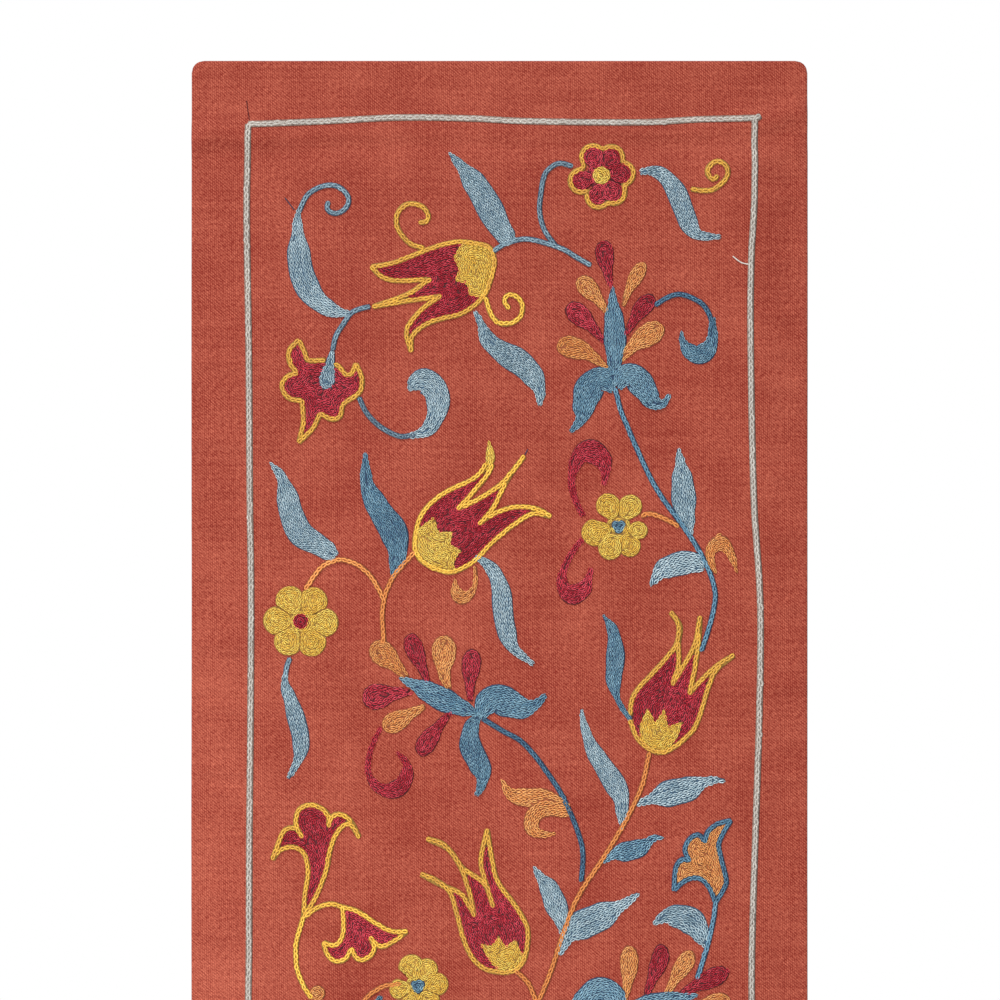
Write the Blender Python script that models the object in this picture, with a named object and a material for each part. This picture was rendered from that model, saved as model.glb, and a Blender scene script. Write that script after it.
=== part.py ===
"""Embroidered wall hanging: one hemmed runner of cloth with flowers and leaves worked on its face.

The hanging is upright. Its face looks towards -Y, its back lies at y = 0 and the middle of its top
edge is the origin. Lengths below are in millimetres and become metres where the mesh is made.
"""

import math

import bmesh
import bpy
from mathutils import Vector
from mathutils.geometry import delaunay_2d_cdt

MM = 0.001

# Driving dimensions
WIDTH = 400.0
HEIGHT = 1270.0
CORNER = 8.0
CLOTH = 1.6
HEM_WIDTH = 12.0
HEM_EXTRA = 0.6
EDGE_DROP = 0.35
EMBROIDERY = 0.9
TOP_BAND = 35.0

# The stitched line round the pattern
LINE_LEFT = -162.0
LINE_RIGHT = 164.0
LINE_TOP = -39.5
LINE_WIDTH = 3.2

# Spacing of the points that carry the surface
EDGE_STEP = 26.0
BACK_STEP = 30.0
FACE_STEP = 22.0
OUTLINE_STEP = 9.2
LEAST_GAP = 2.4

# Soft folds: first end x, z, second end x, z, height of the ridge (less than 0 for a trough), half width
FOLDS = (
    (-205, -47, 205, -45, 1.1, 5),
    (-205, -57, 205, -55, -1.3, 7),
    (-150, -150, 30, -330, 1.5, 48),
    (-40, -210, 90, -440, -1.6, 42),
    (60, -90, 190, -260, 1.2, 40),
    (-200, -480, -150, -560, 1.6, 36),
    (-210, -330, -60, -345, -0.9, 22),
    (120, -300, 205, -330, 0.9, 20),
    (20, -560, 170, -470, 1.3, 34),
    (-120, -700, 60, -590, -1.2, 40),
    (-190, -820, 10, -740, 1.4, 40),
    (60, -690, 160, -860, -1.3, 40),
    (-80, -930, 100, -1060, 1.6, 46),
    (-200, -1010, -90, -1120, -1.2, 34),
    (90, -1180, 200, -1090, 1.5, 38),
    (-205, -1215, 205, -1221, 0.9, 9),
)
WAVES = ((2.1, 2.9, 0.7, 1.05), (1.3, 4.6, 2.2, 0.85), (3.2, 1.7, 4.1, 0.65))
REST = 2.6

# Leaves, petals and hooked commas: kind, width, points along the middle from the stem end to the tip
BLADES = (
    ("leaf", 14, ((-92, -164), (-118, -156), (-135, -131), (-130, -97))),
    ("drop", 10, ((-107, -185), (-109, -198), (-112, -213))),
    ("leaf", 16, ((9, -119), (-4, -93), (-18, -73), (-33, -60))),
    ("leaf", 14, ((91, -72), (107, -75), (117, -91), (126, -108), (143, -115))),
    ("leaf", 17, ((-15, -162), (-7, -180), (13, -194), (25, -209), (27, -222))),
    ("drop", 12, ((72, -150), (70, -135), (68, -117))),
    ("drop", 13, ((69, -166), (61, -153), (52, -141))),
    ("drop", 10, ((79, -159), (85, -145), (91, -130))),
    ("drop", 15, ((68, -180), (55, -170), (42, -160))),
    ("drop", 12, ((81, -179), (91, -166), (101, -154))),
    ("drop", 16, ((71, -201), (55, -189), (37, -186))),
    ("drop", 17, ((79, -198), (92, -185), (106, -172))),
    ("leaf", 14, ((74, -207), (74, -178), (73, -147))),
    ("comma", 23, ((74, -206), (63, -199), (54, -211), (53, -228), (46, -241))),
    ("comma", 19, ((76, -207), (84, -197), (94, -204), (101, -222), (110, -218))),
    ("comma", 16, ((138, -172), (138, -186), (129, -193), (121, -188), (118, -176))),
    ("comma", 14, ((60, -300), (52, -280), (51, -262), (60, -251), (69, -257), (68, -272))),
    ("comma", 13, ((59, -307), (48, -322), (41, -336), (48, -346), (58, -345), (64, -333))),
    ("leaf", 17, ((127, -308), (123, -283), (118, -252))),
    ("leaf", 16, ((139, -331), (125, -325), (111, -329), (101, -340))),
    ("comma", 10, ((140, -328), (136, -319), (144, -313), (151, -320), (154, -331))),
    ("comma", 18, ((-61, -244), (-42, -240), (-36, -224), (-42, -209), (-60, -215))),
    ("leaf", 18, ((-106, -322), (-126, -312), (-136, -288), (-147, -263))),
    ("leaf", 19, ((-68, -336), (-66, -311), (-80, -288), (-87, -255))),
    ("leaf", 14, ((-136, -388), (-139, -408), (-129, -429), (-128, -449), (-136, -466))),
    ("comma", 12, ((-17, -326), (-13, -339), (-19, -351), (-28, -350), (-31, -338))),
    ("leaf", 14, ((-14, -324), (-2, -339), (2, -363), (9, -379), (20, -390))),
    ("drop", 17, ((-61, -403), (-70, -392), (-81, -382))),
    ("drop", 13, ((-45, -406), (-52, -390), (-57, -375))),
    ("drop", 16, ((-32, -410), (-35, -392), (-37, -373))),
    ("drop", 13, ((-20, -418), (-18, -401), (-18, -383))),
    ("drop", 17, ((-58, -410), (-73, -410), (-88, -412))),
    ("drop", 15, ((-48, -418), (-63, -425), (-75, -432))),
    ("drop", 16, ((-31, -424), (-42, -437), (-52, -448))),
    ("leaf", 16, ((-15, -424), (-38, -414), (-63, -403))),
    ("comma", 19, ((-15, -423), (-7, -410), (6, -413), (15, -422), (31, -414))),
    ("comma", 18, ((-14, -424), (-21, -438), (-15, -456), (-13, -475))),
    ("comma", 17, ((-77, -432), (-86, -449), (-82, -470), (-70, -476), (-61, -467), (-66, -449))),
    ("leaf", 14, ((87, -434), (74, -418), (78, -392), (68, -362))),
    ("leaf", 19, ((83, -498), (77, -473), (64, -451), (54, -423))),
    ("leaf", 15, ((91, -488), (107, -476), (127, -471), (144, -467))),
    ("leaf", 10, ((69, -520), (85, -512), (98, -508), (109, -505))),
    ("comma", 16, ((1, -471), (17, -479), (37, -479), (50, -495))),
    ("comma", 13, ((31, -480), (22, -489), (24, -501), (41, -500))),
    ("leaf", 16, ((42, -563), (37, -544), (23, -523))),
    ("leaf", 18, ((38, -579), (50, -558), (69, -547), (91, -539))),
    ("leaf", 16, ((136, -571), (128, -557), (114, -552), (100, -558))),
    ("drop", 14, ((84, -611), (83, -594), (83, -575))),
    ("drop", 12, ((96, -610), (101, -592), (105, -574))),
    ("drop", 14, ((107, -608), (115, -592), (122, -576))),
    ("drop", 13, ((122, -604), (136, -594), (149, -587))),
    ("drop", 13, ((124, -612), (137, -611), (151, -612))),
    ("drop", 13, ((111, -617), (124, -626), (135, -635))),
    ("drop", 13, ((96, -620), (104, -633), (112, -647))),
    ("leaf", 16, ((75, -615), (101, -612), (128, -606))),
    ("comma", 21, ((79, -615), (70, -601), (57, -607), (50, -618), (38, -613))),
    ("comma", 18, ((79, -616), (73, -629), (81, -642), (79, -659))),
)

# Tulips: foot of the cup, left tip, middle tip, right tip, seen from the foot
TULIPS = (
    ((-2, -135), (-59, -188), (-81, -159), (-82, -135)),
    ((-43, -331), (-7, -251), (15, -257), (32, -294)),
    ((102, -449), (111, -357), (130, -361), (152, -386)),
    ((4, -592), (-51, -528), (-47, -506), (-8, -500)),
)

# Round flowers: middle, radius
ROUND_FLOWERS = ((67, -75, 21), (76, -303, 22), (-129, -364, 24), (-55, -600, 21))

# Open bells: neck, first tip, middle of the rim, second tip
BELLS = (
    ((-126, -550), (-146, -517), (-122, -485), (-91, -504)),
    ((-101, -549), (-114, -572), (-98, -584), (-61, -565)),
    ((138, -545), (113, -538), (125, -508), (149, -494)),
)

# Five tipped lily: its tips in turn round the flower
LILY_TIPS = ((-130, -182), (-141, -213), (-130, -248), (-103, -231), (-90, -196))

# Width of a blade along its length: part of the length, part of the width
PROFILES = {
    "leaf": ((0.0, 0.12), (0.2, 0.62), (0.45, 1.0), (0.7, 0.8), (0.9, 0.34), (1.0, 0.03)),
    "drop": ((0.0, 0.3), (0.3, 0.66), (0.65, 1.0), (0.88, 0.78), (1.0, 0.2)),
    "comma": ((0.0, 0.14), (0.25, 0.42), (0.55, 1.0), (0.75, 0.86), (0.92, 0.36), (1.0, 0.03)),
}


def between(low, high, value):
    """Soft step from 0 at low to 1 at high."""
    t = min(max((value - low) / (high - low), 0.0), 1.0)
    return t * t * (3.0 - 2.0 * t)


def fold_height(x, z, row):
    """Height of one soft fold at a place on the cloth."""
    x1, z1, x2, z2, height, half_width = row
    along_x = x2 - x1
    along_z = z2 - z1
    length = math.hypot(along_x, along_z)
    t = ((x - x1) * along_x + (z - z1) * along_z) / length**2
    near = min(max(t, 0.0), 1.0)
    bend = 0.35 * half_width * math.sin(2.6 * math.pi * near + x1 * 0.01)
    off = ((x - x1) * along_z - (z - z1) * along_x) / length + bend
    past = (t - near) * length
    fade = between(0.0, 0.18, near) * between(0.0, 0.18, 1.0 - near) * 0.6 + 0.4
    if abs(along_x) > WIDTH:
        fade = 1.0
    return height * fade * math.exp(-((off / half_width) ** 2) - (past / half_width) ** 2)


def back_height(x, z):
    """How far the back of the cloth stands off the wall."""
    value = REST
    for turns_x, turns_z, start, height in WAVES:
        phase = turns_x * math.pi * x / WIDTH + turns_z * math.pi * z / HEIGHT * 2.0
        value += height * math.sin(phase + start)
    for row in FOLDS:
        value += fold_height(x, z, row)
    side = 0.45 + 0.55 * between(0.0, 45.0, WIDTH / 2 - abs(x))
    top = between(TOP_BAND - 4.0, TOP_BAND + 45.0, -z)
    if -z > TOP_BAND:
        top = max(top, 0.35 * between(TOP_BAND, TOP_BAND + 8.0, -z))
    return max(value, 0.15) * side * top


def spline(points, steps):
    """Points of a smooth curve through the given ones, evenly spaced along it."""
    ends = [tuple(2 * a - b for a, b in zip(points[0], points[1]))]
    last = [tuple(2 * a - b for a, b in zip(points[-1], points[-2]))]
    rail = [Vector(p) for p in ends + list(points) + last]
    dense = []
    for i in range(1, len(rail) - 2):
        p0, p1, p2, p3 = rail[i - 1 : i + 3]
        for k in range(12):
            t = k / 12
            part = (p2 - p0) * t + (2 * p0 - 5 * p1 + 4 * p2 - p3) * t**2
            dense.append(0.5 * (2 * p1 + part + (3 * p1 - p0 - 3 * p2 + p3) * t**3))
    dense.append(rail[-2])
    lengths = [0.0]
    for a, b in zip(dense, dense[1:]):
        lengths.append(lengths[-1] + (b - a).length)
    out = []
    j = 0
    for k in range(steps + 1):
        want = lengths[-1] * k / steps
        while j < len(dense) - 2 and lengths[j + 1] < want:
            j += 1
        part = (want - lengths[j]) / max(lengths[j + 1] - lengths[j], 1e-9)
        out.append(dense[j].lerp(dense[j + 1], min(max(part, 0.0), 1.0)))
    return out


def profile_at(kind, t):
    """Part of the full width at t along a blade."""
    rows = PROFILES[kind]
    for (t0, w0), (t1, w1) in zip(rows, rows[1:]):
        if t <= t1:
            return w0 + (w1 - w0) * between(t0, t1, t)
    return rows[-1][1]


def blade_points(kind, width, points):
    """Edge points and crown points of a leaf, petal or comma."""
    rough = sum((Vector(b) - Vector(a)).length for a, b in zip(points, points[1:]))
    steps = max(3, round(rough / OUTLINE_STEP))
    rail = spline(points, steps)
    edge = []
    crown = []
    for k, at in enumerate(rail):
        along = rail[min(k + 1, steps)] - rail[max(k - 1, 0)]
        across = Vector((-along.y, along.x)).normalized()
        half = 0.5 * width * profile_at(kind, k / steps)
        if half < 1.4:
            edge.append(at)
            continue
        edge += [at + across * half, at - across * half]
        if half > 5.5:
            crown += [at + across * half * 0.5, at - across * half * 0.5]
        else:
            crown.append(at)
    return edge, crown


def ring(corners, step):
    """Points along the straight sides between corners, in turn round the shape."""
    out = []
    for a, b in zip(corners, corners[1:] + corners[:1]):
        a = Vector(a)
        b = Vector(b)
        parts = max(1, round((b - a).length / step))
        out += [a.lerp(b, k / parts) for k in range(parts)]
    return out


def tulip_corners(foot, left, middle, right):
    """Outline of a tulip with three pointed petals, from its foot and its tips."""
    foot, left, middle, right = (Vector(p) for p in (foot, left, middle, right))
    axis = (middle + left + right) / 3 - foot
    side = Vector((-axis.y, axis.x)) * 0.36
    hollow_left = foot + axis * 0.66 + (left - middle) * 0.2
    hollow_right = foot + axis * 0.66 + (right - middle) * 0.2
    belly_left = foot + axis * 0.3 + side
    belly_right = foot + axis * 0.3 - side
    neck_left = foot + axis * 0.62 + side * 0.86
    neck_right = foot + axis * 0.62 - side * 0.86
    return [
        foot,
        foot + axis * 0.08 + side * 0.66,
        belly_left,
        neck_left,
        left,
        hollow_left,
        middle,
        hollow_right,
        right,
        neck_right,
        belly_right,
        foot + axis * 0.08 - side * 0.66,
    ]


def bell_corners(neck, first, rim, second):
    """Outline of an open bell whose mouth has two pointed tips and a round middle."""
    neck, first, rim, second = (Vector(p) for p in (neck, first, rim, second))
    mouth = (first + second) / 2
    out = (rim - neck).normalized()
    side = (first - second).normalized()
    throat = neck.lerp(mouth, 0.55)
    return [
        neck,
        throat + side * 5.0,
        first.lerp(throat, 0.4) - out * 4.0,
        first,
        first.lerp(rim, 0.5) - out * 1.5,
        rim + side * 5.0,
        rim - side * 5.0,
        second.lerp(rim, 0.5) - out * 1.5,
        second,
        second.lerp(throat, 0.4) - out * 4.0,
        throat - side * 5.0,
    ]


def star_corners(tips):
    """Outline of a flower with pointed petals and a dip between each two of them."""
    middle = sum((Vector(p) for p in tips), Vector((0, 0))) / len(tips)
    out = []
    for a, b in zip(tips, tips[1:] + tips[:1]):
        out += [Vector(a), (Vector(a) + Vector(b)).lerp(2 * middle, 0.34) / 2]
    return out


def round_corners(x, z, radius):
    """Outline of a round flower with six lobes."""
    out = []
    for k in range(18):
        turn = math.tau * k / 18
        lobe = radius * (0.91 + 0.09 * math.cos(6 * turn))
        out.append(Vector((x + lobe * math.cos(turn), z + lobe * math.sin(turn))))
    return out


def flower_points(corners):
    """Edge points and crown points of a flower outline."""
    edge = ring(corners, OUTLINE_STEP)
    middle = sum(corners, Vector((0, 0))) / len(corners)
    inner = [p + (middle - p).normalized() * min(2.6, (middle - p).length / 2) for p in edge]
    core = [p.lerp(middle, 0.55) for p in edge[::3]]
    return edge, [p for p in inner if inside(p, corners)] + core


def inside(point, corners):
    """Whether a point lies inside a closed outline."""
    hit = False
    for a, b in zip(corners, corners[1:] + corners[:1]):
        if (a.y > point.y) != (b.y > point.y):
            cut = a.x + (point.y - a.y) * (b.x - a.x) / (b.y - a.y)
            hit = hit != (point.x < cut)
    return hit


def upper_motifs():
    """Edge and crown points of every filled motif in the upper half."""
    found = [flower_points(tulip_corners(*row)) for row in TULIPS]
    found += [flower_points(round_corners(*row)) for row in ROUND_FLOWERS]
    found += [flower_points(bell_corners(*row)) for row in BELLS]
    found.append(flower_points(star_corners(LILY_TIPS)))
    found += [blade_points(*row) for row in BLADES]
    return found


def half_turn(point):
    """The same place in the other half of the pattern."""
    return Vector((-point.x, -HEIGHT - point.y))


def line_points():
    """Edge and crown points of the stitched line round the pattern."""
    low = -HEIGHT - LINE_TOP
    corners = [
        Vector((LINE_LEFT, LINE_TOP)),
        Vector((LINE_RIGHT, LINE_TOP)),
        Vector((-LINE_LEFT, low)),
        Vector((-LINE_RIGHT, low)),
    ]
    middle = Vector((0.0, -HEIGHT / 2))
    crown = ring(corners, 20.0)
    edge = []
    for p in crown:
        way = Vector((math.copysign(1, middle.x - p.x), 0))
        if min(abs(p.y - LINE_TOP), abs(p.y - low)) < 1.0:
            way = Vector((0, math.copysign(1, middle.y - p.y)))
        edge += [p + way * LINE_WIDTH / 2, p - way * LINE_WIDTH / 2]
    return edge, crown


class Scatter:
    """Points of one face of the cloth, none nearer to another than the least gap."""

    def __init__(self):
        self.cell = 6.0
        self.cells = {}
        self.points = []

    def near(self, x, z, gap):
        reach = int(gap // self.cell) + 1
        i, j = int(x // self.cell), int(z // self.cell)
        for a in range(i - reach, i + reach + 1):
            for b in range(j - reach, j + reach + 1):
                for px, pz in self.cells.get((a, b), ()):
                    if math.hypot(px - x, pz - z) < gap:
                        return True
        return False

    def add(self, x, z, lift, gap):
        if abs(x) > WIDTH / 2 - 3.0 or not -HEIGHT + 3.0 < z < -3.0 or self.near(x, z, gap):
            return
        self.cells.setdefault((int(x // self.cell), int(z // self.cell)), []).append((x, z))
        self.points.append((x, z, lift))


def rim_points():
    """The cloth's outline with its rounded corners, anticlockwise seen from the front."""
    out = []
    x, low = WIDTH / 2, -HEIGHT
    for cx, cz, start in (
        (x, low, -90),
        (x, 0.0, 0),
        (-x, 0.0, 90),
        (-x, low, 180),
    ):
        mx = cx - math.copysign(CORNER, cx)
        mz = cz + (CORNER if cz == low else -CORNER)
        for k in range(4):
            turn = math.radians(start + 30 * k)
            out.append(Vector((mx + CORNER * math.cos(turn), mz + CORNER * math.sin(turn))))
    rounded = []
    for a, b in zip(out, out[1:] + out[:1]):
        parts = max(1, round((b - a).length / EDGE_STEP))
        rounded += [a.lerp(b, k / parts) for k in range(parts)]
    return rounded


def crease_rows(scatter, lift, step):
    """Rows of points along the two sharp creases under the top line."""
    for row in FOLDS[:2] + FOLDS[-1:]:
        x1, z1, x2, z2 = row[:4]
        parts = round((x2 - x1) / step)
        for k in range(parts + 1):
            t = k / parts
            for off in (-0.9 * row[5], 0.0, 0.9 * row[5]):
                scatter.add(x1 + (x2 - x1) * t, z1 + (z2 - z1) * t + off, lift, 3.5)


def lattice(scatter, step, gap):
    """Evenly staggered points where no other point is near."""
    rows = round(HEIGHT / (step * 0.87))
    for j in range(1, rows):
        z = -HEIGHT * j / rows
        columns = round(WIDTH / step)
        for i in range(columns + 1):
            x = WIDTH * ((i + 0.5 * (j % 2)) / columns - 0.5)
            scatter.add(x, z, 0.0, gap)


def face_scatter():
    """Points of the front, with how far the embroidery lifts each."""
    scatter = Scatter()
    motifs = upper_motifs()
    motifs += [[[half_turn(p) for p in part] for part in pair] for pair in upper_motifs()]
    motifs.append(line_points())
    for edge, crown in motifs:
        for p in crown:
            scatter.add(p.x, p.y, EMBROIDERY, LEAST_GAP)
    for edge, crown in motifs:
        for p in edge:
            scatter.add(p.x, p.y, 0.0, LEAST_GAP)
    crease_rows(scatter, 0.0, 26.0)
    lattice(scatter, FACE_STEP, FACE_STEP * 0.6)
    return scatter


def back_scatter():
    """Points of the back, on both sides of the hem's step and across the middle."""
    scatter = Scatter()
    for inset, lift in ((HEM_WIDTH, 0.0), (HEM_WIDTH + 3.0, 1.0)):
        x = WIDTH / 2 - inset
        corners = [Vector((-x, -inset)), Vector((x, -inset))]
        corners += [Vector((x, inset - HEIGHT)), Vector((-x, inset - HEIGHT))]
        for p in ring(corners, EDGE_STEP):
            scatter.add(p.x, p.y, lift, 1.0)
    marks = len(scatter.points)
    crease_rows(scatter, 1.0, 34.0)
    lattice(scatter, BACK_STEP, BACK_STEP * 0.5)
    inner = WIDTH / 2 - HEM_WIDTH
    kept = scatter.points[:marks]
    for x, z, lift in scatter.points[marks:]:
        within = abs(x) < inner and -HEIGHT + HEM_WIDTH < z < -HEM_WIDTH
        kept.append((x, z, 1.0 if within else 0.0))
    return kept


def triangulate(rim, points):
    """Triangles over the rim and the inner points; rim points keep their order and come first."""
    flat = [p.to_2d() for p in rim] + [Vector(p[:2]) for p in points]
    edges = [(k, (k + 1) % len(rim)) for k in range(len(rim))]
    verts, _, faces, *_ = delaunay_2d_cdt(flat, edges, [], 1, 1e-4, False)
    if len(verts) != len(flat):
        raise ValueError("two points of the cloth fell together")
    return faces


def build_cloth():
    """The closed cloth: front with raised embroidery, back with the turned hem, and the rim between."""
    mesh = bpy.data.meshes.new("cloth")
    bm = bmesh.new()
    rim = rim_points()
    front = face_scatter().points
    back = back_scatter()
    front_verts = []
    back_verts = []
    for p in rim:
        stand = back_height(p.x, p.y)
        y = stand + HEM_EXTRA + CLOTH - EDGE_DROP
        front_verts.append(bm.verts.new((p.x * MM, -y * MM, p.y * MM)))
        back_verts.append(bm.verts.new((p.x * MM, -stand * MM, p.y * MM)))
    for x, z, lift in front:
        y = back_height(x, z) + HEM_EXTRA + CLOTH + lift
        front_verts.append(bm.verts.new((x * MM, -y * MM, z * MM)))
    for x, z, lift in back:
        y = back_height(x, z) + HEM_EXTRA * lift
        back_verts.append(bm.verts.new((x * MM, -y * MM, z * MM)))
    for face in triangulate(rim, front):
        bm.faces.new([front_verts[k] for k in face])
    for face in triangulate(rim, back):
        bm.faces.new([back_verts[k] for k in reversed(face)])
    count = len(rim)
    for k in range(count):
        n = (k + 1) % count
        bm.faces.new((back_verts[k], back_verts[n], front_verts[n], front_verts[k]))
    bmesh.ops.recalc_face_normals(bm, faces=bm.faces[:])
    bm.to_mesh(mesh)
    bm.free()
    return bpy.data.objects.new("cloth", mesh)


def cloth_material():
    """Terracotta cotton."""
    material = bpy.data.materials.new("terracotta_cotton")
    material.use_nodes = True
    shader = material.node_tree.nodes["Principled BSDF"]
    shader.inputs["Base Color"].default_value = (0.42, 0.088, 0.053, 1.0)
    shader.inputs["Roughness"].default_value = 0.85
    shader.inputs["Metallic"].default_value = 0.0
    return material


def main():
    for obj in list(bpy.data.objects):
        bpy.data.objects.remove(obj, do_unlink=True)
    scene = bpy.context.scene
    scene.unit_settings.system = "METRIC"
    scene.unit_settings.scale_length = 1.0
    collection = bpy.data.collections.new("embroidered_wall_hanging")
    scene.collection.children.link(collection)
    cloth = build_cloth()
    cloth.data.materials.append(cloth_material())
    collection.objects.link(cloth)
    cloth.data.shade_smooth()


main()
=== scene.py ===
"""Looks of the embroidered wall hanging: twill cloth, chain stitched flowers and leaves, border line.

Tables are in millimetres on the cloth: x to the right and z up from the middle of the top edge.
Meshes are in metres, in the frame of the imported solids.
"""

import math

import bpy
import numpy as np
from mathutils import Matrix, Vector
from mathutils.geometry import delaunay_2d_cdt


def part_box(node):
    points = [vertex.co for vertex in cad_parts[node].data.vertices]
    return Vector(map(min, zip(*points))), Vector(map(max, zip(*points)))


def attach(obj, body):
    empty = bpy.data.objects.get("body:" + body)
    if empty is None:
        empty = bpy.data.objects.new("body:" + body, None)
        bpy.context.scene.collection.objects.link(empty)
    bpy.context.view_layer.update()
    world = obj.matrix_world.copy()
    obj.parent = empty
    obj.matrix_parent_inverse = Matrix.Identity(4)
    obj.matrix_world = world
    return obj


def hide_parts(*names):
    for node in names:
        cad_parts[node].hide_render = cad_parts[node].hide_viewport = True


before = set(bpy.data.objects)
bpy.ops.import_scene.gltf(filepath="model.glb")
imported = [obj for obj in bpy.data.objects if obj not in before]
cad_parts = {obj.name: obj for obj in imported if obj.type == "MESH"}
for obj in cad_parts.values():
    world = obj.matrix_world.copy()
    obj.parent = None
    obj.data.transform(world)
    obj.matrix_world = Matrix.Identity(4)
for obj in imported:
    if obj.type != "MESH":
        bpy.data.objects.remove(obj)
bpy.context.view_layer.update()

MM = 0.001
RNG = np.random.default_rng(48)

# Size of the cloth, its corners, its hem and the flat band at the top
LOW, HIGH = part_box("cloth")
WIDTH = (HIGH[0] - LOW[0]) / MM
HEIGHT = (HIGH[2] - LOW[2]) / MM
CORNER = 8.0
CLOTH = 1.6
HEM_WIDTH = 12.0
HEM_EXTRA = 0.6
TOP_BAND = 35.0

# Rounding of the edge, places of points near an edge, the band they take up and the cells further in
EDGE_ROUND = 1.2
EDGE_POINTS = (0.0, 0.35, 1.0, 2.4, 4.5, 8.0, 11.5, 12.3, 13.2, 15.2)
EDGE_BAND = 18.0
CELL_WIDE = 8.0
CELL_TALL = 3.0

# Lengths of the links, half width of a single line and distance between rows
LINK = 4.1
LINE_LINK = 3.6
LINE_HALF = 1.5
ROW_GAP = 2.1

# Half width of a link, half thickness and half height of its thread, corners of the thread
LINE_SHAPE = (0.92, 0.58, 0.5, 4)
BORDER_SHAPE = (1.05, 0.76, 0.56, 4)

# The same in fillings, where half width and half thickness are parts of the distance between rows
FILL_HALF = 0.32
FILL_THICK = 0.185
FILL_TALL = 0.36
FILL_CORNERS = 3

# How deep inside its outline the first row of a shape lies, and the most rows
FLOWER_ROW = LINE_HALF + 1.0
CUP_ROW = 0.8
DISC_ROW = 0.95
PETAL_ROW = 1.1
HEART_ROW = 0.9
BUD_ROW = 1.0
DROP_ROW = 1.2
MOST_ROWS = 14

# How far a round flower's disc reaches past the heart, and its outline past the petals
DISC_PAST = 3.4
OUTLINE_PAST = 1.2

# Parts of the distance between rows at which links are too close or leave a gap
TOO_CLOSE = 0.64
TOO_OPEN = 0.7

# Distance between the points of smooth lines, and of the grid on which gaps are looked for
STEP = 0.8
GAP_GRID = 0.6

# Single lines: least distance between links and lift
LINE_CLOSE = 1.25
LINE_LIFT = 0.26

# Lift of a shape for each one that it covers, up to the top level
LEVEL = 0.09
TOP_LEVEL = 4

# Dark layers under the links, painted shade between the rows: lift, thickness, grid and a small step from
# one to the next
BED_LIFT = 0.14
BED_THICK = 0.3
BED_GRID = 4.0
BED_STEP = 0.0004

# Dark strips of painted shade under single lines: further lift, step along the line, half widths and step
# from one to the next
LINE_BED_LIFT = 0.2
LINE_BED_STEP = 2.4
LINE_BED_HALF = 1.7
BORDER_BED_HALF = 2.1
LINE_BED_RISE = 0.002

# How much hand work differs from stitch to stitch: place, direction, width and height
PLACE_SPREAD = 0.07
TURN_SPREAD = 0.08
WIDTH_SPREAD = 0.05
HEIGHT_SPREAD = 0.06

# Place of the deep tone on a thread's ramp
DEEP_AT = 0.45

# Soft folds: first end x, z, second end x, z, height of the ridge (less than 0 for a trough), half width
FOLDS = (
    (-205, -47, 205, -45, 1.1, 5),
    (-205, -57, 205, -55, -1.3, 7),
    (-150, -150, 30, -330, 1.5, 48),
    (-40, -210, 90, -440, -1.6, 42),
    (60, -90, 190, -260, 1.2, 40),
    (-200, -480, -150, -560, 1.6, 36),
    (-210, -330, -60, -345, -0.9, 22),
    (120, -300, 205, -330, 0.9, 20),
    (20, -560, 170, -470, 1.3, 34),
    (-120, -700, 60, -590, -1.2, 40),
    (-190, -820, 10, -740, 1.4, 40),
    (60, -690, 160, -860, -1.3, 40),
    (-80, -930, 100, -1060, 1.6, 46),
    (-200, -1010, -90, -1120, -1.2, 34),
    (90, -1180, 200, -1090, 1.5, 38),
    (-205, -1215, 205, -1221, 0.9, 9),
)

# Slow waves: half turns across, turns down, start and height, then the back's rest and least distance
WAVES = ((2.1, 2.9, 0.7, 1.05), (1.3, 4.6, 2.2, 0.85), (3.2, 1.7, 4.1, 0.65))
REST = 2.6
LEAST = 0.15

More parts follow.
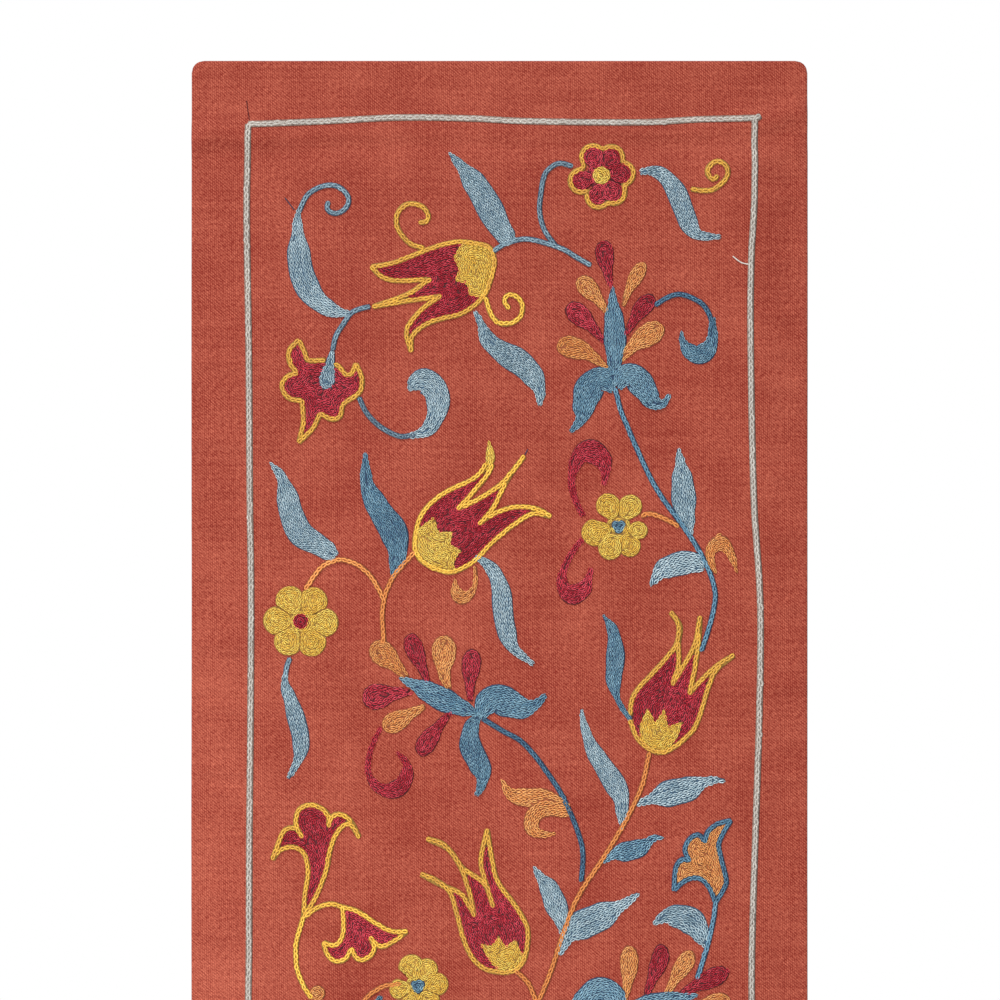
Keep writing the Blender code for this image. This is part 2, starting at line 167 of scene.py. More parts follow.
# Fine creases, in the same columns
FINE_FOLDS = (
    (-204, -48.5, -150, -48.5, 3.0, 10.5),
    (-164, -50, 64, -49, 0.85, 5.0),
    (56, -48, 160, -46, 1.0, 5.0),
    (150, -36.5, 204, -36.5, 2.7, 7.5),
    (140, -61.5, 204, -61.5, 2.3, 8.0),
    (-60, -62, 70, -64, 0.59, 4.0),
    (-150, -89.5, -100, -93.5, 0.48, 4.2),
    (-202, -197.5, -168, -196.5, 0.64, 4.2),
    (-202, -246.5, -160, -248.5, 0.8, 4.2),
    (-202, -279.5, -164, -278.5, 0.72, 4.2),
    (-202, -293, -158, -294, 0.68, 3.2),
    (-202, -302.5, -168, -301.5, 0.72, 4.2),
    (-202, -334.5, -172, -335.5, 0.56, 4.2),
    (-202, -380.5, -168, -379.5, 0.56, 4.2),
    (-202, -408, -166, -409, 0.68, 4.0),
    (-202, -420.5, -162, -418.5, 0.8, 4.2),
    (-202, -459.5, -158, -460.5, 0.96, 4.2),
    (-202, -477, -164, -477, 0.85, 4.2),
    (-202, -487.5, -168, -488.5, 0.64, 4.2),
    (-202, -542.5, -166, -540.5, 0.64, 4.2),
    (166, -72.5, 202, -71.5, 0.64, 4.2),
    (170, -88.5, 202, -89.5, 0.56, 4.2),
    (162, -128.5, 202, -130.5, 0.64, 4.2),
    (168, -165.5, 202, -164.5, 0.64, 4.2),
    (172, -188, 202, -188, 0.59, 3.4),
    (168, -208.5, 202, -207.5, 0.48, 4.2),
    (170, -269.5, 202, -270.5, 0.64, 4.2),
    (164, -305.5, 202, -304.5, 0.64, 4.2),
    (172, -354.5, 202, -353.5, 0.72, 4.2),
    (166, -405.5, 202, -407.5, 0.64, 4.2),
    (160, -467.5, 202, -466.5, 0.72, 4.2),
    (168, -548.5, 202, -549.5, 0.64, 4.2),
    (-52, -156, 52, -262, 0.9, 10.0),
    (-95, -170, -60, -222, -0.7, 13.0),
    (-22, -225, 0, -276, -0.6, 9.0),
    (20, -300, 70, -390, -0.5, 12.0),
    (-60, -500, 60, -470, 0.6, 12.0),
    (-140, -700, 190, -706, 0.51, 3.2),
    (-202, -737.5, -160, -738.5, 0.72, 4.2),
    (-202, -809.5, -166, -807.5, 0.64, 4.2),
    (-202, -857.5, -150, -853.5, 0.64, 4.2),
    (-202, -951, -164, -953, 0.68, 4.0),
    (-202, -1037.5, -160, -1035.5, 0.72, 4.2),
    (164, -687.5, 202, -689.5, 0.64, 4.2),
    (168, -782.5, 202, -781.5, 0.72, 4.2),
    (160, -930, 202, -934, 0.68, 3.6),
    (166, -1015.5, 202, -1013.5, 0.64, 4.2),
    (168, -1098.5, 202, -1100.5, 0.64, 4.2),
    (-70, -880, 30, -980, 0.8, 11.0),
    (-204, -1214.5, 204, -1214.5, 0.8, 4.2),
)

# Thread colours: light tone (also painted highlight specks), deep tone, dark end of the ramp (painted
# shade on single lines) and painted shade between and beside the rows
THREADS = {
    "sky": ((212, 229, 234), (139, 168, 181), (78, 94, 110), (54, 78, 98)),
    "indigo": ((162, 199, 214), (94, 139, 164), (46, 68, 94), (32, 56, 82)),
    "crimson": ((240, 90, 108), (172, 11, 36), (118, 8, 26), (76, 4, 14)),
    "gold": ((252, 231, 122), (242, 193, 70), (196, 142, 66), (144, 108, 42)),
    "apricot": ((250, 192, 122), (230, 150, 80), (196, 118, 60), (132, 70, 34)),
    "white": ((232, 226, 217), (196, 189, 180), (150, 144, 137), (128, 110, 100)),
}

# Leaves, petals and hooked commas: kind, thread, width, distance between rows, middle from the stem end to
# the tip. A later row lies over an earlier one.
BLADES = (
    ("even", "sky", 16, 2.1,
     ((-97, -165), (-109, -162), (-120, -154), (-127, -142), (-130, -128), (-131, -105), (-130, -97))),
    ("drop", "sky", 10.5, 2.1, ((-108, -188), (-110, -198), (-113, -214))),
    ("blunt", "sky", 17, 2.1, ((8, -119), (0, -108), (-7, -95), (-14, -83), (-23, -71), (-33, -60))),
    ("even", "sky", 13, 2.1,
     ((91, -73), (98, -72), (106, -75), (114, -85), (119, -97), (124, -109), (130, -114), (143, -115))),
    ("lance", "sky", 16.5, 2.1,
     ((-16, -163), (-12, -171), (-7, -182), (3, -190), (13, -196), (21, -204), (26, -214), (26, -224))),
    ("drop", "crimson", 12, 2.1, ((72, -147), (70, -137), (68, -125), (68, -117))),
    ("drop", "apricot", 12.5, 2.2, ((70, -164), (63, -154), (54, -144), (51, -141))),
    ("drop", "apricot", 9.5, 2.2, ((80, -160), (84, -149), (92, -134), (93, -131))),
    ("drop", "crimson", 13.5, 2.1, ((67, -182), (59, -172), (49, -163), (43, -160))),
    ("drop", "crimson", 11.5, 2.1, ((82, -178), (90, -164), (98, -155), (100, -153))),
    ("drop", "apricot", 14.5, 2.2, ((69, -199), (57, -190), (46, -186), (37, -185))),
    ("drop", "apricot", 15, 2.2, ((78, -195), (88, -184), (100, -176), (106, -172))),
    ("leaf", "indigo", 14.5, 2.1, ((74, -206), (75, -184), (74, -164), (73, -147))),
    ("hump", "indigo", 19, 2.1, ((75, -213), (67, -207), (59, -212), (55, -223), (53, -233), (46, -241))),
    ("hump", "indigo", 17, 2.1,
     ((76, -212), (81, -205), (87, -205), (94, -213), (100, -222), (106, -223), (110, -217))),
    ("hook", "indigo", 12.5, 2.1,
     ((138, -167), (138, -173), (138, -181.5), (134.7, -188), (128.8, -191.4), (122.8, -188.3),
      (118.9, -183), (117.3, -176))),
    ("claw", "crimson", 16, 2.1,
     ((54.3, -296), (49.5, -286), (46.7, -275), (48, -265), (52.6, -256), (59.9, -254), (66.3, -258.6),
      (68.6, -266), (67.6, -275.5))),
    ("claw", "crimson", 13.5, 2.1,
     ((53.5, -310.5), (45.8, -321.4), (40.8, -333.2), (41.7, -342.3), (47.6, -346.4), (54.5, -342.8),
      (57.6, -336), (59.5, -329.6))),
    ("leaf", "sky", 16, 2.3,
     ((124, -308), (122, -300), (120, -289), (119, -277), (118, -266), (116, -252))),
    ("blunt", "sky", 15.5, 2.7,
     ((133, -329), (127, -326), (120, -326), (112, -328), (104, -332), (98, -341))),
    ("arch", "apricot", 10, 2.2,
     ((140, -333), (137, -325), (137, -318), (143, -313), (148, -317), (151, -323), (154, -332))),
    ("comma", "sky", 16.5, 2.1,
     ((-58, -244), (-47, -240), (-41, -230), (-40, -219), (-44, -211), (-52, -208), (-59, -214))),
    ("blunt", "sky", 16.5, 2.1,
     ((-106, -322), (-118, -314), (-129, -307), (-135, -294), (-138, -281), (-142, -269), (-149, -261))),
    ("late", "indigo", 18, 2.1,
     ((-70, -337), (-67, -327), (-66, -317), (-69, -305), (-75, -296), (-81, -286), (-86, -274),
      (-87, -255))),
    ("even", "sky", 11.5, 2.1,
     ((-139, -398), (-139, -406), (-136, -414), (-132, -427), (-129, -440), (-130, -452), (-137, -466))),
    ("claw", "apricot", 9.6, 2.1,
     ((-16, -328), (-15.4, -335), (-16.6, -342.5), (-20.5, -347.6), (-25.4, -348), (-28.6, -344),
      (-29, -336.4))),
    ("even", "sky", 13, 2.1,
     ((-16, -322), (-9, -326), (-3, -333), (1, -344), (2, -355), (4, -368), (9, -381), (22, -392))),
    ("drop", "apricot", 16, 2.2, ((-60, -401), (-68, -392), (-77, -384), (-84, -380))),
    ("drop", "crimson", 12, 2.1, ((-46, -405), (-51, -392), (-56, -380), (-58, -372))),
    ("drop", "apricot", 16, 2.2, ((-33, -408), (-36, -397), (-36, -383), (-36, -373))),
    ("drop", "crimson", 12.5, 2.1, ((-19, -416), (-19, -401), (-18, -389), (-17, -382))),
    ("drop", "crimson", 16.5, 2.3, ((-58, -410), (-69, -411), (-80, -413), (-89, -414))),
    ("drop", "apricot", 13.5, 2.3, ((-48, -419), (-58, -424), (-67, -429), (-76, -433))),
    ("drop", "crimson", 12.5, 2.1, ((-32, -423), (-41, -434), (-48, -444), (-52, -451))),
    ("leaf", "gold", 6, 2.1, ((-9, -266), (-6, -259), (-7, -247))),
    ("leaf", "indigo", 15.5, 2.4, ((-14, -424), (-27, -419), (-40, -413), (-53, -406), (-65, -401))),
    ("hump", "indigo", 19.5, 2.4,
     ((-13, -425), (-8, -417), (-2, -414), (6, -417), (15, -420), (23, -418), (30, -412))),
    ("even", "indigo", 14.5, 1.9,
     ((-12, -424), (-18, -432), (-19, -444), (-14, -455), (-11, -463), (-12, -471), (-15, -477))),
    ("claw", "crimson", 11.5, 2.1,
     ((-77, -433), (-82, -443), (-85, -453), (-85, -463), (-80, -471), (-72, -474), (-64, -471),
      (-60, -463), (-61, -455), (-67, -449))),
    ("stalked", "indigo", 12, 1.9,
     ((85, -428), (80, -421), (76, -413), (74, -402), (75, -391), (75, -380), (73, -369), (67, -360))),
    ("late", "sky", 14, 1.9,
     ((79, -499), (79, -480), (75, -470), (68, -459), (60, -446), (55, -432), (53, -421))),
    ("spoon", "sky", 17, 2.6,
     ((89, -483), (93, -481), (102, -478), (112, -475), (121, -473), (130, -469), (138, -467),
      (146, -467))),
    ("spoon", "indigo", 12.5, 2.6,
     ((67, -520), (74, -515), (82, -513), (90, -511), (95, -508), (100, -504), (106, -504))),
    ("blunt", "apricot", 13, 2.5, ((45, -485), (28, -479), (16, -478), (7, -476), (1, -467))),
    ("blunt", "apricot", 11, 2.5,
     ((46, -488), (30, -485), (22, -490), (21, -498), (27, -502), (36, -501))),
    ("leaf", "sky", 14.5, 2.1, ((42, -568), (41, -559), (37, -549), (32, -537), (26, -529), (22, -523))),
    ("spoon", "sky", 19, 2.6,
     ((39, -580), (45, -568), (53, -561), (64, -556), (73, -551), (82, -546), (90, -540))),
    ("leaf", "sky", 17.5, 2.6,
     ((134, -575), (129, -564), (123, -557.5), (115, -555), (107, -555), (100, -560))),
    ("drop", "apricot", 12, 2.2, ((81, -611), (83, -598), (84, -587), (84, -574))),
    ("drop", "crimson", 11.5, 2.1, ((94, -609), (100, -593), (104, -583), (105, -573))),
    ("drop", "apricot", 11.5, 2.2, ((107, -608), (115, -593), (121, -584), (124, -577))),
    ("drop", "crimson", 12.5, 2.1, ((114, -608), (127, -600), (140, -594), (148, -590))),
    ("drop", "apricot", 13, 2.2, ((121, -613), (134, -612), (142, -611), (150, -611))),
    ("drop", "crimson", 13, 2.1, ((111, -617), (123, -625), (130, -630), (136, -635))),
    ("drop", "apricot", 12.5, 2.2, ((96, -620), (104, -632), (109, -640), (112, -647))),
    ("leaf", "indigo", 15, 2.3, ((76, -616), (92, -614), (110, -610), (128, -606))),
    ("hump", "indigo", 19, 2.4,
     ((79, -617), (73, -607), (66, -604), (59, -607), (51, -613), (44, -615), (38, -611))),
    ("even", "indigo", 14, 2.0, ((79, -616), (74, -624), (74, -635), (80, -646), (81, -654), (77, -663))),
)

# Single lines of chain stitch: thread, points along the line
STEMS = (
    ("sky",
     ((-130, -98), (-125, -88), (-118, -83), (-110, -81), (-103, -83), (-98, -89), (-99, -95),
      (-104, -99), (-109, -99), (-112, -96), (-111, -92))),
    ("sky", ((-84, -160), (-89, -161), (-96, -164), (-101, -171), (-106, -179), (-108, -188))),
    ("gold",
     ((-49, -122), (-58, -119), (-65, -111), (-67, -103), (-64, -96), (-58, -93), (-50, -95), (-46, -101),
      (-48, -105), (-52, -105))),
    ("gold",
     ((-9, -154), (-6, -164), (-1, -170), (6, -171), (13, -167), (15, -160), (12, -154), (6, -152),
      (3, -156), (6, -161))),
    ("sky", ((-4, -124), (4, -119), (17, -116), (31, -119), (42, -123), (50, -128), (59, -133))),
    ("sky", ((36, -120), (29, -110), (26, -98), (27, -85), (29, -75), (33, -70), (39, -67), (47, -69))),
    ("gold",
     ((124, -84), (132, -85), (139, -84), (146, -78), (148, -72), (145, -67), (140, -66), (135, -70),
      (135, -75), (139, -78), (141, -75))),
    ("indigo",
     ((101, -159), (109, -154), (117, -152), (126, -155), (133, -160), (137, -168), (138, -174))),
    ("indigo",
     ((75, -213), (79, -228), (84, -240), (90, -254), (98, -271), (105, -283), (113, -294), (121, -305),
      (127, -314), (133, -325), (138, -337), (140, -348), (138, -360), (135, -371), (131, -383))),
    ("apricot", ((92, -296), (97, -294), (104, -296), (116, -302))),
    ("sky", ((-91, -219), (-86, -229), (-77, -238), (-65, -244), (-55, -243))),
    ("apricot", ((-55, -319), (-63, -328), (-70, -337), (-75, -350), (-76, -362), (-75, -378))),
    ("apricot",
     ((-75, -350), (-80, -340), (-87, -331), (-95, -326), (-104, -324), (-113, -327), (-119, -333),
      (-126, -343))),
    ("sky", ((-136, -388), (-138, -393), (-139, -400))),
    ("indigo",
     ((-11, -427), (2, -435), (13, -441), (22, -450), (31, -462), (39, -474), (45, -486), (51, -501),
      (54, -514), (53, -532))),
    ("apricot",
     ((97, -449), (95, -460), (92, -471), (87, -483), (79, -498), (68, -516), (57, -532), (49, -546),
      (45, -556), (39, -573), (33, -592), (23, -614), (6, -634))),
    ("gold", ((-127, -555), (-131, -569), (-132, -578), (-131, -590), (-127, -600), (-122, -608))),
    ("apricot", ((-64, -599), (-76, -601), (-87, -609), (-97, -626))),
    ("gold", ((-126, -555), (-119, -550), (-110, -547), (-102, -549))),
    ("indigo", ((140, -545), (139, -555), (136, -569), (133, -580), (128, -595))),
    ("apricot", ((10, -590), (18, -598), (22, -606), (24, -613))),
)

# Flowers with an outline: filling, line, sides that meet at corners, points of the cup's upper edge
FLOWERS = (
    ("crimson", "gold",
     (((-3, -131), (-6, -143), (-11, -154), (-24, -164), (-35, -167), (-46, -170.5), (-53, -175),
       (-57, -180), (-57.3, -189)),
      ((-57.3, -189), (-60.3, -178), (-58, -170.5), (-49.5, -161), (-38, -153)),
      ((-38, -153), (-65, -157), (-82, -160)),
      ((-82, -160), (-60, -152), (-45, -142)),
      ((-45, -142), (-67, -143), (-77, -140), (-83, -134)),
      ((-83, -134), (-67, -131), (-47, -123), (-29, -118), (-15, -119), (-6, -122), (-3, -131))),
     ((-24, -118), (-30, -128), (-26, -136), (-29, -143), (-21, -145), (-20, -152), (-10, -155))),
    ("crimson", "gold",
     (((-44, -329), (-52, -323), (-55, -313), (-50, -294), (-36, -281), (-16, -271), (-9, -262),
       (-7, -248)),
      ((-7, -248), (-4, -259), (-8, -269), (-17, -280), (-27, -291)),
      ((-27, -291), (-14, -285), (1, -275), (8, -267), (16, -257)),
      ((16, -257), (7, -269), (1, -280), (-4, -290), (-13, -301)),
      ((-13, -301), (-5, -295), (9, -290), (24, -291), (33, -296)),
      ((33, -296), (22, -294), (11, -300), (-4, -312), (-17, -325), (-31, -332), (-44, -329))),
     ((-54, -305), (-50, -302), (-42, -296), (-40, -306), (-30, -306), (-32, -314), (-25, -318),
      (-30, -326), (-28, -332))),
    ("crimson", "gold",
     (((102, -449), (96, -446), (89, -439), (85, -427), (87, -412), (98, -399), (108, -388), (115, -378),
       (116, -366), (111, -358)),
      ((111, -358), (117, -367), (116, -378), (116, -392), (112, -405)),
      ((112, -405), (120, -392), (127, -378), (130, -361)),
      ((130, -361), (129, -378), (126, -398), (123, -411)),
      ((123, -411), (132, -401), (142, -392), (152, -386)),
      ((152, -386), (141, -395), (136, -405), (132, -418), (127, -432), (119, -441), (109, -448),
       (102, -449))),
     ((91, -441), (91, -431), (96, -420), (101, -430), (107, -420), (109, -432), (119, -429), (115, -440),
      (110, -446))),
    ("crimson", "gold",
     (((4, -592), (-8, -590), (-17, -583), (-23, -571), (-27, -556), (-32, -540), (-41, -532),
       (-51, -528)),
      ((-51, -528), (-38, -535), (-25, -541), (-16, -555)),
      ((-16, -555), (-20, -538), (-26, -522), (-36, -509), (-47, -505)),
      ((-47, -505), (-33, -512), (-24, -524), (-10, -534), (-4, -549)),
      ((-4, -549), (-9, -533), (-12, -519), (-8, -499)),
      ((-8, -499), (-5, -518), (-1, -533), (10, -548), (18, -563), (17, -580), (12, -589), (4, -592))),
     ((0, -590), (-5, -586.5), (-9, -580), (-12, -573), (-4.5, -574.5), (-1, -567.5), (4, -575),
      (10.6, -570), (14, -579))),
    ("crimson", "gold",
     (((-127, -556), (-118, -540), (-112, -524), (-110, -513), (-106, -502), (-98, -495), (-91, -504)),
      ((-91, -504), (-97, -493), (-104, -489), (-109, -491), (-111, -497)),
      ((-111, -497), (-111, -490), (-116, -485), (-123, -483), (-130, -486), (-132, -495), (-128, -504)),
      ((-128, -504), (-132, -498), (-139, -499), (-143, -507), (-147, -518)),
      ((-147, -518), (-142, -512), (-134, -510), (-127, -514), (-124, -525), (-126, -541), (-127, -556))),
     None),
    ("crimson", "gold",
     (((-102, -549), (-92, -552), (-80, -560), (-70, -565), (-60, -565)),
      ((-60, -565), (-68, -571), (-77, -575), (-84, -569)),
      ((-84, -569), (-81, -576), (-85, -582), (-92, -583), (-96, -576)),
      ((-96, -576), (-100, -583), (-107, -584), (-112, -579), (-114, -572)),
      ((-114, -572), (-107, -574), (-102, -569), (-101, -558), (-102, -549))), None),
    ("apricot", "indigo",
     (((140, -546), (145, -538), (147, -532), (144, -519), (142, -509), (145, -501), (150, -493)),
      ((150, -493), (142, -495), (135, -500), (133, -507)),
      ((133, -507), (129, -502), (123, -505), (120, -512), (123, -519)),
      ((123, -519), (118, -518), (114, -524), (113, -538)),
      ((113, -538), (120, -532), (128, -530), (135, -535), (140, -546))), None),
    ("crimson", "gold",
     (((-130, -182), (-126, -190), (-124, -195), (-112, -195), (-104, -199), (-100, -204), (-96, -204),
       (-93, -197)),
      ((-93, -197), (-89, -207), (-91, -216), (-101, -223), (-103, -231), (-109, -233), (-116, -229)),
      ((-116, -229), (-121, -239), (-130, -248)),
      ((-130, -248), (-127, -234), (-128, -221)),
      ((-128, -221), (-137, -219), (-141, -211), (-137, -205), (-131, -203)),
      ((-131, -203), (-136, -196), (-136, -188), (-130, -182))), None),
)

# Round flowers: middle, reach of the petals' middles, petals' half length and half width, turn in degrees
# and size of each petal, heart's radius, then the threads of petals, outline and heart
ROUND_FLOWERS = (
    (66, -75, 12.2, 7.3, 7,
     ((5, 1), (61, 1), (114, 1), (195, 1), (261, 1), (306, 1)),
     5.8, "crimson", "gold", "gold"),
    (77.2, -302.3, 14.2, 8.6, 7.9,
     ((298, 0.92), (-12, 0.72), (193, 1.14), (60, 0.98), (249, 1), (118, 1)),
     4.3, "gold", None, "indigo"),
    (-129, -364, 15.2, 9.2, 9.3,
     ((-3, 1), (237, 1), (117, 1), (177, 1), (57, 1), (297, 1)),
     5.4, "gold", None, "crimson"),
    (-53, -600.6, 12.0, 7.8, 7.6,
     ((305, 0.95), (190, 0.9), (6, 1), (248, 1), (60, 0.96), (110, 1.12)),
     4.4, "gold", None, "indigo"),
)
BUD = (-118, -605, 5.0)

# Loose thread ends: thread, points
LOOSE_ENDS = (
    ("white", ((151, -127.5), (156.5, -131.5), (161.5, -132.7))),
    ("indigo", ((16.4, -256), (18.3, -252.4))),
    ("indigo", ((-139.2, -89.3), (-133.2, -97.1))),
    ("crimson", ((-164.3, -26), (-163.6, -31), (-162.4, -38.5))),
    ("crimson", ((163.4, -50.4), (164.6, -53.4))),
)

# Border line: the top side's points, then z, left x and right x of the upright sides
LINE_TOP = (
    (-163, -41.5), (-116, -39.5), (-65, -37), (-19, -37.6), (20, -39.5), (91, -40.2), (130, -38.2),
    (165.4, -37.6), (168.8, -36.2),
)
LINE_SIDES = (
    (-91, -164.0, 165.0),
    (-130, -163.6, 163.0),
    (-188, -162.5, 162.7),
    (-285, -161.9, 165.0),
    (-350, -161.3, 169.0),
    (-415, -161.5, 168.7),
    (-500, -162.0, 166.0),
    (-577, -162.3, 163.6),
    (-635, -163.3, 163.3),
)

# Width of a blade along its length: part of the length, part of the width
PROFILES = {
    "leaf": ((0.0, 0.16), (0.18, 0.66), (0.42, 1.0), (0.66, 0.84), (0.86, 0.36), (1.0, 0.08)),
    "blunt": ((0.0, 0.34), (0.08, 0.74), (0.36, 1.0), (0.64, 0.88), (0.86, 0.36), (1.0, 0.06)),
    "spoon": ((0.0, 0.1), (0.12, 0.3), (0.36, 1.0), (0.58, 0.94), (0.82, 0.32), (1.0, 0.1)),
    "even": ((0.0, 0.22), (0.2, 0.7), (0.42, 1.0), (0.66, 0.94), (0.86, 0.42), (1.0, 0.14)),
    "late": ((0.0, 0.08), (0.16, 0.6), (0.36, 1.0), (0.6, 0.8), (0.82, 0.42), (1.0, 0.1)),
    "stalked": ((0.0, 0.2), (0.2, 0.26), (0.42, 0.86), (0.6, 1.0), (0.84, 0.6), (1.0, 0.08)),
    "lance": ((0.0, 0.12), (0.1, 0.26), (0.28, 0.66), (0.54, 1.0), (0.74, 0.86), (0.9, 0.4), (1.0, 0.12)),
    "claw": ((0.0, 0.2), (0.36, 0.28), (0.5, 0.56), (0.66, 1.0), (0.78, 0.78), (0.9, 0.34), (1.0, 0.1)),
    "arch": ((0.0, 0.2), (0.24, 0.56), (0.5, 1.0), (0.76, 0.5), (1.0, 0.1)),
    "drop": ((0.0, 0.24), (0.3, 0.5), (0.62, 0.94), (0.78, 1.0), (0.93, 0.72), (1.0, 0.2)),
    "comma": ((0.0, 0.2), (0.28, 0.62), (0.56, 0.94), (0.8, 1.0), (0.92, 0.6), (1.0, 0.05)),
    "hump": ((0.0, 0.44), (0.2, 0.86), (0.42, 1.0), (0.64, 0.76), (0.84, 0.3), (1.0, 0.1)),
    "hook": ((0.0, 0.26), (0.25, 0.5), (0.5, 1.0), (0.7, 0.8), (0.88, 0.3), (1.0, 0.05)),
}


def soft_step(low, high, value):
    """0 below low, 1 above high and a smooth rise between."""
    t = np.clip((value - low) / (high - low), 0.0, 1.0)
    return t * t * (3.0 - 2.0 * t)


def fold_height(x, z, row):
    """Height of one soft fold at places on the cloth."""
    x1, z1, x2, z2, height, half_width = row
    along = np.array((x2 - x1, z2 - z1), float)
    length = math.hypot(*along)
    t = ((x - x1) * along[0] + (z - z1) * along[1]) / length**2
    near = np.clip(t, 0.0, 1.0)
    bend = 0.35 * half_width * np.sin(2.6 * math.pi * near + x1 * 0.01)
    off = ((x - x1) * along[1] - (z - z1) * along[0]) / length + bend
    past = (t - near) * length
    fade = soft_step(0.0, 0.18, near) * soft_step(0.0, 0.18, 1.0 - near) * 0.6 + 0.4
    if abs(along[0]) > WIDTH:
        fade = 1.0
    return height * fade * np.exp(-((off / half_width) ** 2) - (past / half_width) ** 2)


def stand_off(x, z):
    """How far the back of the cloth stands off the wall."""
    value = np.full(np.shape(x), REST)
    for half_turns, turns, start, height in WAVES:
        phase = half_turns * math.pi * x / WIDTH + turns * math.pi * z / HEIGHT * 2.0
        value = value + height * np.sin(phase + start)
    for row in FOLDS:
        value = value + fold_height(x, z, row)
    side = 0.45 + 0.55 * soft_step(0.0, 45.0, WIDTH / 2 - np.abs(x))
    top = soft_step(TOP_BAND - 4.0, TOP_BAND + 45.0, -z)
    start = 0.35 * soft_step(TOP_BAND, TOP_BAND + 8.0, -z)
    top = np.where(-z > TOP_BAND, np.maximum(top, start), top)
    fine = sum(fold_height(x, z, row) for row in FINE_FOLDS)
    return np.maximum(np.maximum(value, LEAST) * side * top + fine, 0.0)


def face_height(x, z):
    """How far the face of the cloth stands off the wall."""
    across = np.sin(x * 0.55 + 2.1 * np.sin(z * 0.13))
    down = np.sin(z * 0.47 + 1.7 * np.sin(x * 0.11))
    return stand_off(x, z) + HEM_EXTRA + CLOTH + 0.09 * across * down


def reach_along(line):
    """How far along a line each of its points lies."""
    return np.concatenate(([0.0], np.cumsum(np.hypot(*np.diff(line, axis=0).T))))


def places_on(line, places):
    """Points at the given distances along a line."""
    reach = reach_along(line)
    return np.column_stack([np.interp(places, reach, line[:, k]) for k in (0, 1)])


def even(points, step=STEP):
    """The same line with evenly spaced points."""
    length = reach_along(points)[-1]
    return places_on(points, np.linspace(0.0, length, max(2, round(length / step) + 1)))


def spline(points):
    """Evenly spaced points of a smooth curve through the given ones."""
    points = np.array(points, float)
    rail = np.vstack((2 * points[:1] - points[1:2], points, 2 * points[-1:] - points[-2:-1]))
    t = np.linspace(0, 1, 24, endpoint=False)[None, :, None]
    p0, p1, p2, p3 = (p[:, None, :] for p in (rail[:-3], rail[1:-2], rail[2:-1], rail[3:]))
    bend = (p2 - p0) * t + (2 * p0 - 5 * p1 + 4 * p2 - p3) * t**2
    dense = 0.5 * (2 * p1 + bend + (3 * p1 - p0 - 3 * p2 + p3) * t**3)
    return even(np.vstack((dense.reshape(-1, 2), rail[-2:-1])))


def cornered(sides):
    """Closed outline made of smooth sides that meet at corners."""
    return np.vstack([spline(side)[:-1] for side in sides])


def sideways(rail):
    """Unit vectors across a line at each of its points."""
    ahead = np.gradient(rail, axis=0)
    ahead /= np.hypot(*ahead.T)[:, None]
    return np.column_stack((-ahead[:, 1], ahead[:, 0]))


def half_turned(points):
    """The same points or links in the other half of the pattern."""
    points = np.array(points, float)
    return np.tile((0.0, -HEIGHT), points.shape[1] // 2) - points


def distances(points, others):
    """How far each of the points lies from each of the others."""
    return np.hypot(*(points[:, None, :] - others[None, :, :]).transpose(2, 0, 1))


def grid_inside(outline, spacing):
    """Grid of points inside a closed outline."""
    low, high = outline.min(axis=0), outline.max(axis=0)
    gx, gz = np.meshgrid(np.arange(low[0], high[0], spacing), np.arange(low[1], high[1], spacing))
    grid = np.column_stack((gx.ravel(), gz.ravel()))
    return grid[inside(grid, outline)]


def apart(points, others):
    """Whether the boxes round two sets of points don't meet."""
    below = points.max(axis=0) < others.min(axis=0)
    above = points.min(axis=0) > others.max(axis=0)
    return (below | above).any()


def profile_at(kind, t):
    """Part of the full width at places along a blade."""
    value = np.zeros_like(t)
    for (t0, w0), (t1, w1) in zip(PROFILES[kind], PROFILES[kind][1:]):
        value = np.where((t >= t0) & (t <= t1), w0 + (w1 - w0) * soft_step(t0, t1, t), value)
    return value


def blade_shape(kind, width, points):
    """Outline and middle line of a leaf, petal or comma, with its half width along the middle."""
    rail = spline(points)
    half = 0.5 * width * profile_at(kind, np.linspace(0, 1, len(rail)))
    across = sideways(rail) * half[:, None]
    return np.vstack((rail - across, (rail + across)[::-1])), rail, half


def circle(x, z, radius, step=STEP):
    """Outline of a disc."""
    turn = np.linspace(0, math.tau, max(10, round(math.tau * radius / step)), endpoint=False)
    return np.column_stack((x + radius * np.cos(turn), z + radius * np.sin(turn)))


def heart_outline(x, z, radius):
    """Outline of a flower's heart, a little drawn out at three corners."""
    spots = circle(0.0, 0.0, radius)
    turn = np.arctan2(spots[:, 1], spots[:, 0])
    return spots * (1.0 + 0.1 * np.cos(3.0 * turn - math.pi / 2))[:, None] + (x, z)


def oval(x, z, reach, long, wide, turn):
    """Outline of a petal that reaches out from the middle of a flower."""
    along, across = circle(0.0, 0.0, 1.0, STEP / wide).T
    along = reach + along * long
    room = np.maximum(along * math.tan(math.pi / 6) - 0.25, 0.2)
    across = np.clip(across * wide, -room, room)
    px = x + along * math.cos(turn) - across * math.sin(turn)
    pz = z + along * math.sin(turn) + across * math.cos(turn)
    return np.column_stack((px, pz))


def scallop(x, z, reach, radius, turns):
    """Outline round the petals of a flower."""
    turn = np.linspace(0, math.tau, 240, endpoint=False)
    far = np.full(len(turn), 0.62 * (reach + radius))
    for petal in turns:
        off = (turn - math.radians(petal) + math.pi) % math.tau - math.pi
        room = radius**2 - (reach * np.sin(off)) ** 2
        edge = reach * np.cos(off) + np.sqrt(np.maximum(room, 0.0))
        far = np.maximum(far, np.where((np.cos(off) > 0) & (room > 0), edge, 0.0))
    return np.column_stack((x + far * np.cos(turn), z + far * np.sin(turn)))


